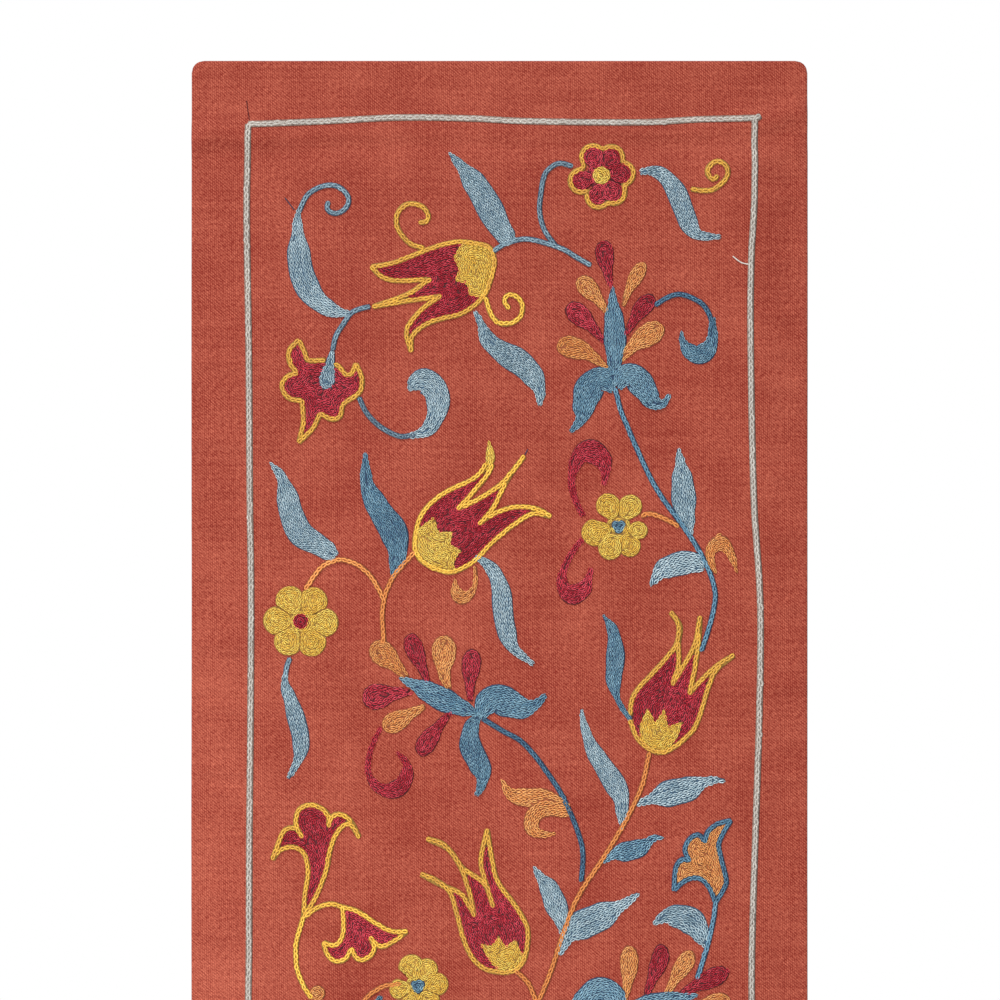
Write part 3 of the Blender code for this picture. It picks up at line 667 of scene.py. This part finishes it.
def inside(points, outline):
    """Which points lie inside a closed outline."""
    ax, az = outline.T
    bx, bz = np.roll(outline, -1, axis=0).T
    px, pz = points[:, 0:1], points[:, 1:2]
    spans = (az > pz) != (bz > pz)
    rise = np.where(bz == az, 1e-9, bz - az)
    cut = ax + (pz - az) * (bx - ax) / rise
    return (np.count_nonzero(spans & (px < cut), axis=1) % 2).astype(bool)


def inward(outline):
    """Unit vectors that point into a closed outline from each of its points."""
    ahead = np.roll(outline, -1, axis=0) - np.roll(outline, 1, axis=0)
    ahead /= np.maximum(np.hypot(*ahead.T), 1e-9)[:, None]
    x, z = outline.T
    side = 1.0 if np.sum(x * np.roll(z, -1) - np.roll(x, -1) * z) > 0 else -1.0
    return np.column_stack((-ahead[:, 1], ahead[:, 0])) * side


def ring_at(outline, depth, slack):
    """Runs of points that lie a given depth inside an outline."""
    moved = outline + inward(outline) * depth
    keep = (distances(moved, outline).min(axis=1) >= depth - slack) & inside(moved, outline)
    if keep.all():
        return [np.vstack((moved, moved[:1]))]
    start = int(np.argmin(keep))
    runs = [[]]
    for k in (np.arange(len(moved)) + start) % len(moved):
        if keep[k]:
            runs[-1].append(moved[k])
        elif runs[-1]:
            runs.append([])
    return [np.array(run) for run in runs if len(run) > 1]


def links_along(line, length, phase=0.0):
    """Links of chain stitch along a line: start x, z and end x, z of each."""
    total = reach_along(line)[-1]
    if total < 0.45 * length:
        return np.empty((0, 4))
    count = max(1, round(total / length))
    length = total / count
    places = np.arange(count + 1) * length
    if phase > 0.0 and count > 2:
        places = np.concatenate(([0.0], places[:-1] + length * phase, [total]))
        places = np.delete(places, 1 if phase < 0.5 else -2)
    marks = places_on(line, places)
    return np.hstack((marks[:-1], marks[1:]))


def spots_of(links):
    """Three places along each link."""
    start, run = links[:, :2], links[:, 2:] - links[:, :2]
    return np.concatenate([start + run * part for part in (0.2, 0.5, 0.8)])


def thin_out(links, gap):
    """Leaves out links whose middle lies too near one that is already there."""
    kept = []
    spots = np.full((1, 2), 1e6)
    for link in links:
        middle = (link[:2] + link[2:]) / 2
        if np.hypot(*(spots - middle).T).min() < gap:
            continue
        kept.append(link)
        spots = np.vstack((spots, spots_of(link[None, :])))
    return np.array(kept).reshape(-1, 4)


def fill_gaps(links, outline, pitch, length, margin):
    """Short links where the rows have left the filling open."""
    grid = grid_inside(outline, GAP_GRID)
    grid = grid[distances(grid, outline).min(axis=1) > margin]
    if not len(grid):
        return links
    ways = np.tile(links[:, 2:] - links[:, :2], (3, 1))
    gaps = distances(grid, spots_of(links))
    nearest = gaps.argmin(axis=1)
    gap = gaps.min(axis=1)
    added = [links]
    while gap.max() > TOO_OPEN * pitch:
        k = int(gap.argmax())
        way = ways[nearest[k]] / max(np.hypot(*ways[nearest[k]]), 1e-9) * length
        link = np.hstack((grid[k] - way / 2, grid[k] + way / 2))[None, :]
        added.append(link)
        gap = np.minimum(gap, distances(grid, spots_of(link)).min(axis=1))
    return np.vstack(added)


def outline_rows(outline, first_depth, pitch):
    """Rows that follow an outline, from the rim inwards."""
    rows = []
    depth = first_depth
    for _ in range(MOST_ROWS):
        runs = ring_at(outline, depth, 0.4 * pitch)
        if not runs:
            break
        rows += runs
        depth += pitch
    return rows


def blade_rows(rail, half, pitch):
    """Rows that run from a blade's stem end to its tip and draw together at both."""
    across = sideways(rail)
    half = np.maximum(half - 0.3, 0.3)
    count = max(1, round(2.0 * half.max() / pitch))
    parts = sorted([-1.0 + (2 * k + 1) / count for k in range(count)], key=abs, reverse=True)
    return [even(rail + across * (half * part)[:, None]) for part in parts]


def filled(outline, rows, pitch, margin):
    """Links of a filled shape."""
    length = 1.5 * pitch if pitch < 2.5 else 1.3 * pitch
    found = [links_along(row, length * RNG.uniform(0.92, 1.08), RNG.random()) for row in rows]
    links = thin_out(np.vstack([np.empty((0, 4))] + found), TOO_CLOSE * pitch)
    return fill_gaps(links, outline, pitch, length, margin) if len(links) else links


class Work:
    """Everything that is stitched: filled shapes in the order they are laid, and single lines."""

    def __init__(self):
        self.fills = []
        self.lines = []
        self.runs = []

    def fill(self, thread, outline, rows, pitch, margin=0.8):
        level = 0
        for _, other, _, _, below in self.fills:
            if apart(other, outline):
                continue
            if inside(other, outline).any() or inside(outline, other).any():
                level = max(level, below + 1)
        links = filled(outline, rows, pitch, margin)
        self.fills.append((thread, outline, links, pitch, min(level, TOP_LEVEL)))

    def ringed(self, thread, outline, first_depth):
        rows = outline_rows(outline, first_depth, ROW_GAP)
        self.fill(thread, outline, rows, ROW_GAP, 0.8 * first_depth)

    def line(self, thread, *runs):
        links = np.vstack([links_along(run, LINE_LINK) for run in runs])
        self.lines.append((thread, thin_out(links, LINE_CLOSE), len(self.fills)))
        self.runs += [(thread, run, len(self.fills)) for run in runs]


def cup_outline(sides, edge):
    """Outline of the cup at the foot of a tulip, below its toothed upper edge."""
    left, right = spline(sides[0]), spline(sides[-1])[::-1]
    teeth = np.array(edge, float)
    from_first, from_last = distances(teeth[[0, -1]], left).min(axis=1)
    if from_first > from_last:
        teeth = teeth[::-1]
    left_end = distances(left, teeth[:1]).argmin()
    right_end = distances(right, teeth[-1:]).argmin()
    return np.vstack((left[:left_end], even(teeth), right[1:right_end][::-1]))


def stitched_pattern():
    """The upper half of the pattern."""
    work = Work()
    for filling, line, sides, cup in FLOWERS:
        outline = cornered(sides)
        work.ringed(filling, outline, FLOWER_ROW)
        if cup:
            work.ringed("gold", cup_outline(sides, cup), CUP_ROW)
        work.line(line, *map(spline, sides))
    for x, z, reach, long, wide, turned, core, petals, line, heart in ROUND_FLOWERS:
        work.ringed(petals, circle(x, z, core + DISC_PAST), DISC_ROW)
        for turn, size in turned:
            turn = math.radians(turn + RNG.uniform(-2, 2))
            petal = oval(x, z, reach * (0.7 + 0.3 * size), long * size, wide * size, turn)
            work.ringed(petals, petal, PETAL_ROW)
        middle = heart_outline if heart == "indigo" else circle
        work.ringed(heart, middle(x, z, core), HEART_ROW)
        if line:
            edge = scallop(x, z, reach + OUTLINE_PAST, long + 0.1, [turn for turn, _ in turned])
            work.line(line, np.vstack((edge, edge[:1])))
    work.ringed("apricot", circle(*BUD), BUD_ROW)
    for kind, thread, width, pitch, points in BLADES:
        outline, rail, half = blade_shape(kind, width, points)
        if kind == "drop":
            rows = outline_rows(outline, DROP_ROW, pitch)
        else:
            rows = blade_rows(rail, half, pitch)
        work.fill(thread, outline, rows, pitch)
    for thread, points in STEMS:
        work.line(thread, spline(points))
    return work


def border_sides():
    """The four sides of the border line."""
    left = [(x, z) for z, x, _ in LINE_SIDES]
    right = [(x, z) for z, _, x in LINE_SIDES]
    side = np.vstack(([LINE_TOP[-2]], right, half_turned(left[-2::-1] + [LINE_TOP[0]])))
    other = np.vstack((half_turned([LINE_TOP[-2]] + right[:-1]), left[::-1], [LINE_TOP[0]]))
    return [spline(run) for run in (LINE_TOP, side, half_turned(LINE_TOP), other)]


def link_template(wide, thick, tall, corners):
    """Points and faces of one teardrop link: along and across in millimetres, height off the cloth."""
    path = [
        (-0.10, 0.00, 0.22),
        (0.22, 0.60, 0.60),
        (0.68, 1.00, 0.57),
        (1.07, 0.42, 0.38),
        (1.07, -0.42, 0.38),
        (0.68, -1.00, 0.57),
        (0.22, -0.60, 0.60),
    ]
    if corners == 3:
        path[3:5] = [(1.10, 0.00, 0.38)]
    path = np.array(path) * (LINK, wide, 1.0)
    ahead = np.roll(path, -1, axis=0) - np.roll(path, 1, axis=0)
    ahead[:, 2] = 0
    ahead /= np.hypot(ahead[:, 0], ahead[:, 1])[:, None]
    out = np.column_stack((-ahead[:, 1], ahead[:, 0], np.zeros(len(path))))
    points, faces = [], []
    for k in range(len(path)):
        n = (k + 1) % len(path)
        for i in range(corners):
            j = (i + 1) % corners
            angle = math.tau * i / corners + math.pi / 2
            points.append(path[k] + out[k] * thick * math.cos(angle) + (0, 0, tall * math.sin(angle)))
            faces.append((corners * k + i, corners * k + j, corners * n + j, corners * n + i))
    return np.array(points), np.array(faces)


def placed(x, y, z):
    """Points of a mesh at places on the cloth that stand off the wall by y."""
    return np.stack((x, -y, z), axis=-1).reshape(-1, 3) * MM


def bar_template():
    """Points and faces of one short straight stitch on the back."""
    points = [(0.0, 0.0, -0.1), (0.5, -0.42, 0.32), (0.5, 0.42, 0.32), (1.0, 0.0, -0.1)]
    faces = [(0, 1, 2), (3, 2, 1), (0, 2, 3), (0, 3, 1)]
    return np.array(points) * (LINK, 1.0, 1.0), np.array(faces)


def laid_out(links, template, lift, tone, single=False, on_back=False):
    """The template copied to every link: points, faces and a shade for each point."""
    points, faces = template
    count = len(links)
    start = links[:, :2] + RNG.normal(0, PLACE_SPREAD, (count, 2))
    run = links[:, 2:] - links[:, :2]
    size = np.hypot(*run.T)
    turn = np.arctan2(run[:, 1], run[:, 0]) + RNG.normal(0, TURN_SPREAD, count)
    ahead = np.column_stack((np.cos(turn), np.sin(turn)))
    across = np.column_stack((-ahead[:, 1], ahead[:, 0]))
    swell = RNG.normal(1.0, WIDTH_SPREAD, count)
    u = points[:, 0][None, :] * (size / LINK)[:, None]
    v = points[:, 1][None, :] * swell[:, None]
    x = start[:, 0:1] + ahead[:, 0:1] * u + across[:, 0:1] * v
    z = start[:, 1:2] + ahead[:, 1:2] * u + across[:, 1:2] * v
    up = points[:, 2][None, :] * RNG.normal(1.0, HEIGHT_SPREAD, count)[:, None]
    if on_back:
        y = np.maximum(stand_off(x, z) + HEM_EXTRA - up, 0.0)
    else:
        y = face_height(x, z) + up + lift
    index = faces[None, :, :] + (np.arange(count) * len(points))[:, None, None]
    index = index.reshape(-1, faces.shape[1])
    patch = 0.5 + 0.5 * np.sin(start[:, 0] * 0.11 + 1.3 * np.sin(start[:, 1] * 0.07))
    mixed = 0.15 * patch + 0.55 * RNG.random(count)
    # Single lines and the border take the dark end of the ramp: painted shade for the fine shadow along
    # their links, mixed with random tone
    if single:
        shade = 0.02 + 0.42 * tone + 0.26 * mixed
    else:
        shade = DEEP_AT + (1.0 - DEEP_AT) * (0.3 * tone + mixed)
    return placed(x, y, z), index[:, ::-1] if on_back else index, np.repeat(shade, len(points))


def mesh_object(name, material, verts, faces, shade=None):
    """An object from arrays of points and of faces with the same number of corners."""
    mesh = bpy.data.meshes.new(name)
    mesh.vertices.add(len(verts))
    mesh.vertices.foreach_set("co", np.ascontiguousarray(verts, np.float32).ravel())
    mesh.loops.add(faces.size)
    mesh.loops.foreach_set("vertex_index", np.ascontiguousarray(faces, np.int32).ravel())
    mesh.polygons.add(len(faces))
    mesh.polygons.foreach_set("loop_start", np.arange(0, faces.size, faces.shape[1], dtype=np.int32))
    mesh.update(calc_edges=True)
    mesh.validate()
    if shade is not None:
        layer = mesh.attributes.new("shade", "FLOAT", "POINT")
        layer.data.foreach_set("value", np.ascontiguousarray(shade, np.float32))
    mesh.shade_smooth()
    mesh.materials.append(material)
    obj = bpy.data.objects.new(name, mesh)
    bpy.context.scene.collection.objects.link(obj)
    return obj


def merged(parts):
    """Points, faces and shades of several parts as one."""
    firsts = np.cumsum([0] + [len(part[0]) for part in parts])
    faces = [part[1] + first for part, first in zip(parts, firsts)]
    shades = [np.concatenate([part[2] for part in parts])] if len(parts[0]) > 2 else []
    return [np.vstack([part[0] for part in parts]), np.vstack(faces)] + shades


def shade_layer_objects(name, materials, parts):
    """For each thread one thin closed dark layer of painted shade on the sheet that its parts make."""
    pieces = []
    for thread in THREADS:
        if thread not in parts:
            continue
        piece = mesh_object(name + thread, materials["shade_layer_" + thread], *merged(parts[thread]))
        thick = piece.modifiers.new("thickness", "SOLIDIFY")
        thick.thickness = BED_THICK * MM
        thick.offset = 0.0
        pieces.append(piece)
    return pieces


def hidden_by(later, points):
    """Which of the points lie under a later shape."""
    hidden = np.zeros(len(points), bool)
    for _, over, _, _, _ in later:
        if not apart(over, points):
            hidden |= inside(points, over)
    return hidden


def uncovered(links, later):
    """The links that none of the later shapes lies over."""
    middle = (links[:, :2] + links[:, 2:]) / 2
    return links[~hidden_by(later, middle)]


def laid_rows(work):
    """What shows of each filled shape and line: thread, links, distance between rows, lift and tone."""
    shown = []
    for k, (thread, _, links, pitch, level) in enumerate(work.fills):
        if len(links):
            links = uncovered(links, work.fills[k + 1 :])
            shown.append((thread, links, pitch, LEVEL * level, RNG.random()))
    for thread, links, before in work.lines:
        shown.append((thread, uncovered(links, work.fills[before:]), None, LINE_LIFT, RNG.random()))
    return shown


def build_stitches(work, materials):
    """One piece of links for each thread and half of the pattern, with the stitches seen on the back."""
    pieces = []
    shown = laid_rows(work)
    bar = bar_template()
    line_link = link_template(*LINE_SHAPE)
    for thread in THREADS:
        for half in ("upper", "lower"):
            parts, behind = [], []
            for name, links, pitch, lift, tone in shown:
                if name != thread or not len(links):
                    continue
                rows = links if half == "upper" else half_turned(links)
                template = line_link
                if pitch:
                    shape = (FILL_HALF * pitch, FILL_THICK * pitch, FILL_TALL, FILL_CORNERS)
                    template = link_template(*shape)
                parts.append(laid_out(rows, template, lift, tone, single=not pitch))
                behind.append(laid_out(rows, bar, 0.0, tone, single=not pitch, on_back=True))
            if thread == "white":
                rows = np.vstack([links_along(side, LINK) for side in border_sides()])
                rows = rows[(rows[:, 1] > -HEIGHT / 2) == (half == "upper")]
                parts = [laid_out(rows, link_template(*BORDER_SHAPE), 0.0, 0.5, single=True)]
                behind = [laid_out(rows, bar, 0.0, 0.5, single=True, on_back=True)]
            for name, laid in (("stitches_", parts), ("back_stitches_", behind)):
                name += thread + "_" + half
                pieces.append(mesh_object(name, materials[thread], *merged(laid)))
    return pieces


def ribbon(run, half, k, later, turned):
    """Narrow strip of painted shade under a line of stitches where no later shape lies over it: points and
    faces.
    """
    rail = even(run, LINE_BED_STEP)
    across = sideways(rail) * half
    spots = np.hstack((rail - across, rail + across)).reshape(-1, 2)
    quads = np.arange(len(rail) - 1)[:, None] * 2 + np.array((0, 2, 3, 1))
    quads = quads[~hidden_by(later, (rail[:-1] + rail[1:]) / 2)]
    x, z = (half_turned(spots) if turned else spots).T
    return placed(x, face_height(x, z) + BED_LIFT + LINE_BED_LIFT + LINE_BED_RISE * k, z), quads


def build_line_shade_layers(work, materials):
    """Thin dark strips of painted shade that show between and beside the links of the single lines and the
    border line.
    """
    parts = {}
    for k, (thread, run, before) in enumerate(work.runs):
        for turned in (False, True):
            strip = ribbon(run, LINE_BED_HALF, k % 20, work.fills[before:], turned)
            parts.setdefault(thread, []).append(strip)
    for k, side in enumerate(border_sides(), len(work.runs)):
        parts.setdefault("white", []).append(ribbon(side, BORDER_BED_HALF, k % 20, [], False))
    return shade_layer_objects("line_shade_layer_", materials, parts)


def build_loose_ends(materials):
    """Loose thread ends that lie on the face: fine closed tubes."""
    pieces = []
    for k, (thread, points) in enumerate(LOOSE_ENDS):
        thick = 0.42 if thread == "white" else 0.26
        rail = spline(points)
        across = sideways(rail) * thick
        x, z = np.stack((rail, rail + across, rail, rail - across), axis=1).transpose(2, 0, 1)
        up = np.array((2.0, 1.0, 0.0, 1.0)) * thick
        verts = placed(x, face_height(x, z) + up[None, :] + 0.1, z)
        faces = [[0, 1, 2, 3], [4 * len(rail) - n for n in (1, 2, 3, 4)]]
        for n in range(len(rail) - 1):
            for i in range(4):
                j = (i + 1) % 4
                faces.append([4 * n + j, 4 * n + i, 4 * n + 4 + i, 4 * n + 4 + j])
        # Loose ends other than white take the dark colour of the painted shade layers as their own thread
        # colour
        material = materials[thread if thread == "white" else "shade_layer_" + thread]
        name = "loose_end_" + str(k + 1)
        pieces.append(mesh_object(name, material, verts, np.array(faces), np.full(len(verts), 0.75)))
    return pieces


def build_shade_layers(work, materials):
    """Thin dark layer under each filled shape: painted shade that shows between the rows and as a shadow
    line just past the outline.
    """
    parts = {}
    for k, (thread, outline, _, _, level) in enumerate(work.fills):
        # The layer reaches 0.2 mm past the outline: a painted shadow line round the shape
        rim = (outline - inward(outline) * 0.2)[::2]
        flat = [Vector(p) for p in np.vstack((rim, grid_inside(rim, BED_GRID)))]
        edges = [(i, (i + 1) % len(rim)) for i in range(len(rim))]
        points, _, triangles, *_ = delaunay_2d_cdt(flat, edges, [], 1, 1e-4, False)
        spots = np.array([(p.x, p.y) for p in points])
        triangles = np.array([t for t in triangles if len(t) == 3])
        triangles = triangles[inside(spots[triangles].mean(axis=1), rim)]
        for x, z in (spots.T, half_turned(spots).T):
            y = face_height(x, z) + BED_LIFT + LEVEL * level + BED_STEP * k
            parts.setdefault(thread, []).append((placed(x, y, z), triangles))
    return shade_layer_objects("shade_layer_", materials, parts)


def edge_marks(length, cell):
    """Places across the cloth, closer together at both edges."""
    count = round((length - 2 * EDGE_BAND) / cell)
    inner = np.linspace(EDGE_BAND, length - EDGE_BAND, count + 1)
    near = np.array(EDGE_POINTS)
    return np.concatenate((near, inner, (length - near)[::-1]))


def build_cloth(material):
    """The cloth as a closed thin sheet with rounded edges and corners and its hem turned to the back."""
    x, z = np.meshgrid(edge_marks(WIDTH, CELL_WIDE) - WIDTH / 2, -edge_marks(HEIGHT, CELL_TALL))
    u = np.maximum(np.abs(x) - (WIDTH / 2 - CORNER), 0.0)
    v = np.maximum(np.abs(z + HEIGHT / 2) - (HEIGHT / 2 - CORNER), 0.0)
    far = np.maximum(np.hypot(u, v), 1e-9)
    squeeze = np.where((u > 0) & (v > 0), np.maximum(u, v) / far, 1.0)
    x = np.where(u > 0, np.sign(x) * (WIDTH / 2 - CORNER + u * squeeze), x)
    z = np.where(v > 0, np.sign(z + HEIGHT / 2) * (HEIGHT / 2 - CORNER + v * squeeze) - HEIGHT / 2, z)
    round_in = np.where((u > 0) & (v > 0), CORNER - np.hypot(u, v), 30.0)
    edge = np.minimum(np.minimum(WIDTH / 2 - np.abs(x), HEIGHT / 2 - np.abs(z + HEIGHT / 2)), round_in)
    edge = np.maximum(edge, 0.0)
    drop = 1.0 - np.sqrt(np.clip(1.0 - (1.0 - np.minimum(edge / EDGE_ROUND, 1.0)) ** 2, 0.0, 1.0))
    hem = soft_step(HEM_WIDTH - 0.5, HEM_WIDTH + 1.2, edge)
    front = face_height(x, z) - 1.0 * drop
    back = stand_off(x, z) + HEM_EXTRA * hem + 0.9 * drop
    index = np.arange(x.size).reshape(x.shape)
    quads = np.stack((index[:-1, :-1], index[1:, :-1], index[1:, 1:], index[:-1, 1:]), axis=2)
    quads = quads.reshape(-1, 4)
    rim = np.concatenate((index[0, :-1], index[:-1, -1], index[-1, :0:-1], index[:0:-1, 0]))
    follow = np.roll(rim, -1)
    wall = np.column_stack((rim, follow, follow + x.size, rim + x.size))
    faces = np.vstack((quads, quads[:, ::-1] + x.size, wall))
    verts = np.vstack((placed(x, front, z), placed(x, back, z)))
    return mesh_object("cloth_twill", material, verts, faces)


def colour(rgb):
    """Linear colour of an 8 bit one."""
    parts = [c / 255 / 12.92 if c < 11 else ((c / 255 + 0.055) / 1.055) ** 2.4 for c in rgb]
    return (*parts, 1.0)


class Shading:
    """A material and the helpers that add its nodes."""

    def __init__(self, name, **values):
        self.material = bpy.data.materials.new(name)
        self.material.use_nodes = True
        self.nodes = self.material.node_tree.nodes
        self.shader = self.nodes["Principled BSDF"]
        self.put(self.shader, {key.replace("_", " "): value for key, value in values.items()})

    def put(self, node, values):
        """Sets or links the inputs of a node."""
        for key, value in values.items():
            if isinstance(value, bpy.types.NodeSocket):
                self.material.node_tree.links.new(value, node.inputs[key])
            else:
                node.inputs[key].default_value = value

    def add(self, kind, values, **settings):
        """Adds a node with its inputs and settings, and gives its outputs."""
        node = self.nodes.new("ShaderNode" + kind)
        for key, value in settings.items():
            setattr(node, key, value)
        self.put(node, values)
        return node.outputs

    def place(self):
        return self.add("TexCoord", {})["Object"]

    def noise(self, vector, scale, detail=2.0):
        values = {"Scale": scale, "Detail": detail, "Vector": vector}
        return self.add("TexNoise", values)["Fac"]

    def math(self, kind, *values, clamp=False):
        return self.add("Math", dict(enumerate(values)), operation=kind, use_clamp=clamp)["Value"]

    def ramped(self, value, *stops):
        """Colours the shader along a ramp: position and 8 bit colour of each stop."""
        ramp = self.nodes.new("ShaderNodeValToRGB")
        elements = ramp.color_ramp.elements
        for position, _ in stops[1:-1]:
            elements.new(position)
        for element, (position, rgb) in zip(elements, stops):
            element.position = position
            element.color = colour(rgb)
        self.put(ramp, {"Fac": value})
        self.put(self.shader, {"Base Color": ramp.outputs["Color"]})

    def bump(self, height, strength, distance):
        values = {"Strength": strength, "Distance": distance, "Height": height}
        self.put(self.shader, {"Normal": self.add("Bump", values)["Normal"]})


def thread_material(name, tones):
    """Silky thread whose tone changes at random from stitch to stitch, with fine noise along the fibres
    that paints highlight specks and shade between the strands.
    """
    look = Shading(name, Roughness=0.45, Specular_IOR_Level=0.3)
    fibre_and_glints = look.noise(look.place(), 1500.0)
    shade = look.add("Attribute", {}, attribute_name="shade")["Fac"]
    # The fibre noise moves the colour along the ramp: painted highlight specks and strand shade; it also
    # drives the bump
    tone = look.math("MULTIPLY_ADD", fibre_and_glints, 1.8, -0.95)
    look.ramped(look.math("ADD", tone, shade, clamp=True), *zip((0.0, DEEP_AT, 1.0), tones))
    look.bump(fibre_and_glints, 0.4, 0.0003)
    return look.material


def painted_shade_material(name, rgb):
    """Dark thread colour that paints the shade between the rows and beside the lines; loose ends take it
    as their own dark colour.
    """
    look = Shading(name, Roughness=0.8)
    dark = tuple(c * 0.8 for c in rgb)
    pale = tuple(min(255, c * 1.25) for c in rgb)
    look.ramped(look.noise(look.place(), 700.0), (0.3, dark), (0.75, pale))
    return look.material


def cloth_material():
    """Terracotta cotton twill: fine diagonal ribs, uneven yarns across, soft patches of tone and painted
    light that brightens it towards the lower left.
    """
    look = Shading("terracotta_twill", Roughness=0.82, Sheen_Weight=0.15, Specular_IOR_Level=0.3)
    place = look.place()

    def mapped(scale, turn=0.0):
        turned = look.add("Mapping", {"Rotation": (0.0, math.radians(turn), 0.0), "Vector": place})
        return look.add("Mapping", {"Scale": scale, "Vector": turned["Vector"]})["Vector"]

    def bands(turn, pitch, distortion):
        values = {
            "Scale": math.tau / 20.0 / (pitch * MM),
            "Distortion": distortion,
            "Detail": 1.0,
            "Detail Scale": 2.0,
            "Vector": mapped((1.0, 1.0, 1.0), turn),
        }
        return look.add("TexWave", values, wave_type="BANDS", bands_direction="X")["Fac"]

    def rise_along(axis, start, end):
        split = look.add("SeparateXYZ", {"Vector": place})
        values = {"From Min": start, "From Max": end, "Value": split[axis]}
        return look.add("MapRange", values)["Result"]

    def mixed(base, value, part):
        return look.math("ADD", base, look.math("MULTIPLY", value, part))

    grain = look.noise(mapped((1.0, 1.0, 1.0)), 900.0)
    slub = look.noise(mapped((14.0, 1.0, 420.0)), 1.0, 3.0)
    warp = look.noise(mapped((420.0, 1.0, 12.0)), 1.0)
    patch = look.noise(mapped((1.0, 1.0, 1.0)), 26.0, 4.0)
    rib = look.noise(mapped((1150.0, 1.0, 380.0), 50.0), 1.0, 1.0)
    weave = look.math("MULTIPLY", bands(50.0, 1.45, 2.0), bands(0.0, 1.25, 1.4))
    weave = mixed(look.math("MULTIPLY", weave, 0.4), rib, 0.75)
    weave = mixed(weave, grain, 0.3)
    tone = look.math("MULTIPLY", weave, 0.8)
    # Painted light: the cloth turns lighter towards the lower left
    painted_light = look.math("MULTIPLY", rise_along("X", -0.09, -0.19), rise_along("Z", -0.26, -0.5))
    for value, part in ((slub, 0.2), (warp, 0.1), (patch, 0.24), (painted_light, 0.07)):
        tone = mixed(tone, value, part)
    look.ramped(look.math("MULTIPLY", tone, 0.8), (0.50, (122, 26, 6)), (0.94, (203, 109, 84)))
    look.bump(mixed(weave, slub, 0.5), 0.5, 0.0005)
    return look.material


def build_stage():
    """Pale floor under the hanging, soft lights, pale surroundings and the camera."""
    place = (0, -0.3, -1.36)
    bpy.ops.mesh.primitive_circle_add(vertices=96, radius=1.4, fill_type="NGON", location=place)
    floor = bpy.context.object
    floor.name = "floor"
    look = Shading("pale_floor", Roughness=0.7, Base_Color=(0.82, 0.81, 0.79, 1.0))
    floor.data.materials.append(look.material)

    def area(name, place, target, size, power):
        light = bpy.data.lights.new(name, "AREA")
        light.shape = "RECTANGLE"
        light.size, light.size_y = size
        light.energy = power
        obj = bpy.data.objects.new(name, light)
        obj.location = place
        obj.rotation_euler = (Vector(target) - Vector(place)).to_track_quat("-Z", "Y").to_euler()
        bpy.context.scene.collection.objects.link(obj)

    middle = (0.0, 0.0, -0.4)
    area("key", (-1.2, -2.2, 3.4), middle, (1.3, 0.7), 166.0)
    area("fill", (-1.1, -1.9, -1.0), (-0.16, 0.0, -0.66), (1.2, 1.2), 27.0)
    area("front", (0.9, -2.2, -0.5), middle, (1.6, 1.6), 9.0)
    area("back", (0.4, 1.8, 0.4), (0.0, 0.0, -0.6), (1.6, 1.6), 22.0)

    world = bpy.data.worlds.new("surroundings")
    bpy.context.scene.world = world
    world.use_nodes = True
    nodes = world.node_tree.nodes
    links = world.node_tree.links
    soft = nodes["Background"]
    soft.inputs["Color"].default_value = (0.95, 0.97, 1.0, 1.0)
    soft.inputs["Strength"].default_value = 0.36
    white = nodes.new("ShaderNodeBackground")
    white.inputs["Color"].default_value = (1.0, 1.0, 1.0, 1.0)
    path = nodes.new("ShaderNodeLightPath")
    mix = nodes.new("ShaderNodeMixShader")
    links.new(path.outputs["Is Camera Ray"], mix.inputs[0])
    links.new(soft.outputs[0], mix.inputs[1])
    links.new(white.outputs[0], mix.inputs[2])
    links.new(mix.outputs[0], nodes["World Output"].inputs["Surface"])

    scene = bpy.context.scene
    scene.view_settings.view_transform = "Standard"
    camera = bpy.data.cameras.new("camera")
    camera.lens = 100.0
    camera.sensor_width = 36.0
    eye = bpy.data.objects.new("camera", camera)
    eye.location = (0.0003, -1.806, -0.2853)
    eye.rotation_euler = (math.radians(90), 0.0, 0.0)
    scene.collection.objects.link(eye)
    scene.camera = eye


def main():
    build_stage()
    materials = {}
    for name, (light, deep, deepest, dark_shade_rgb) in THREADS.items():
        materials[name] = thread_material("thread_" + name, (deepest, deep, light))
        # Dark layer colours: painted shade between and beside the rows
        materials["shade_layer_" + name] = painted_shade_material("painted_shade_and_dark_thread_" + name, dark_shade_rgb)
    cloth = build_cloth(cloth_material())
    work = stitched_pattern()
    trim = build_stitches(work, materials) + build_shade_layers(work, materials)
    trim += build_line_shade_layers(work, materials) + build_loose_ends(materials)
    for piece in [cloth] + trim:
        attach(piece, "root")
    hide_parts("cloth")
    print("faces", {piece.name: len(piece.data.polygons) for piece in [cloth] + trim})


main()
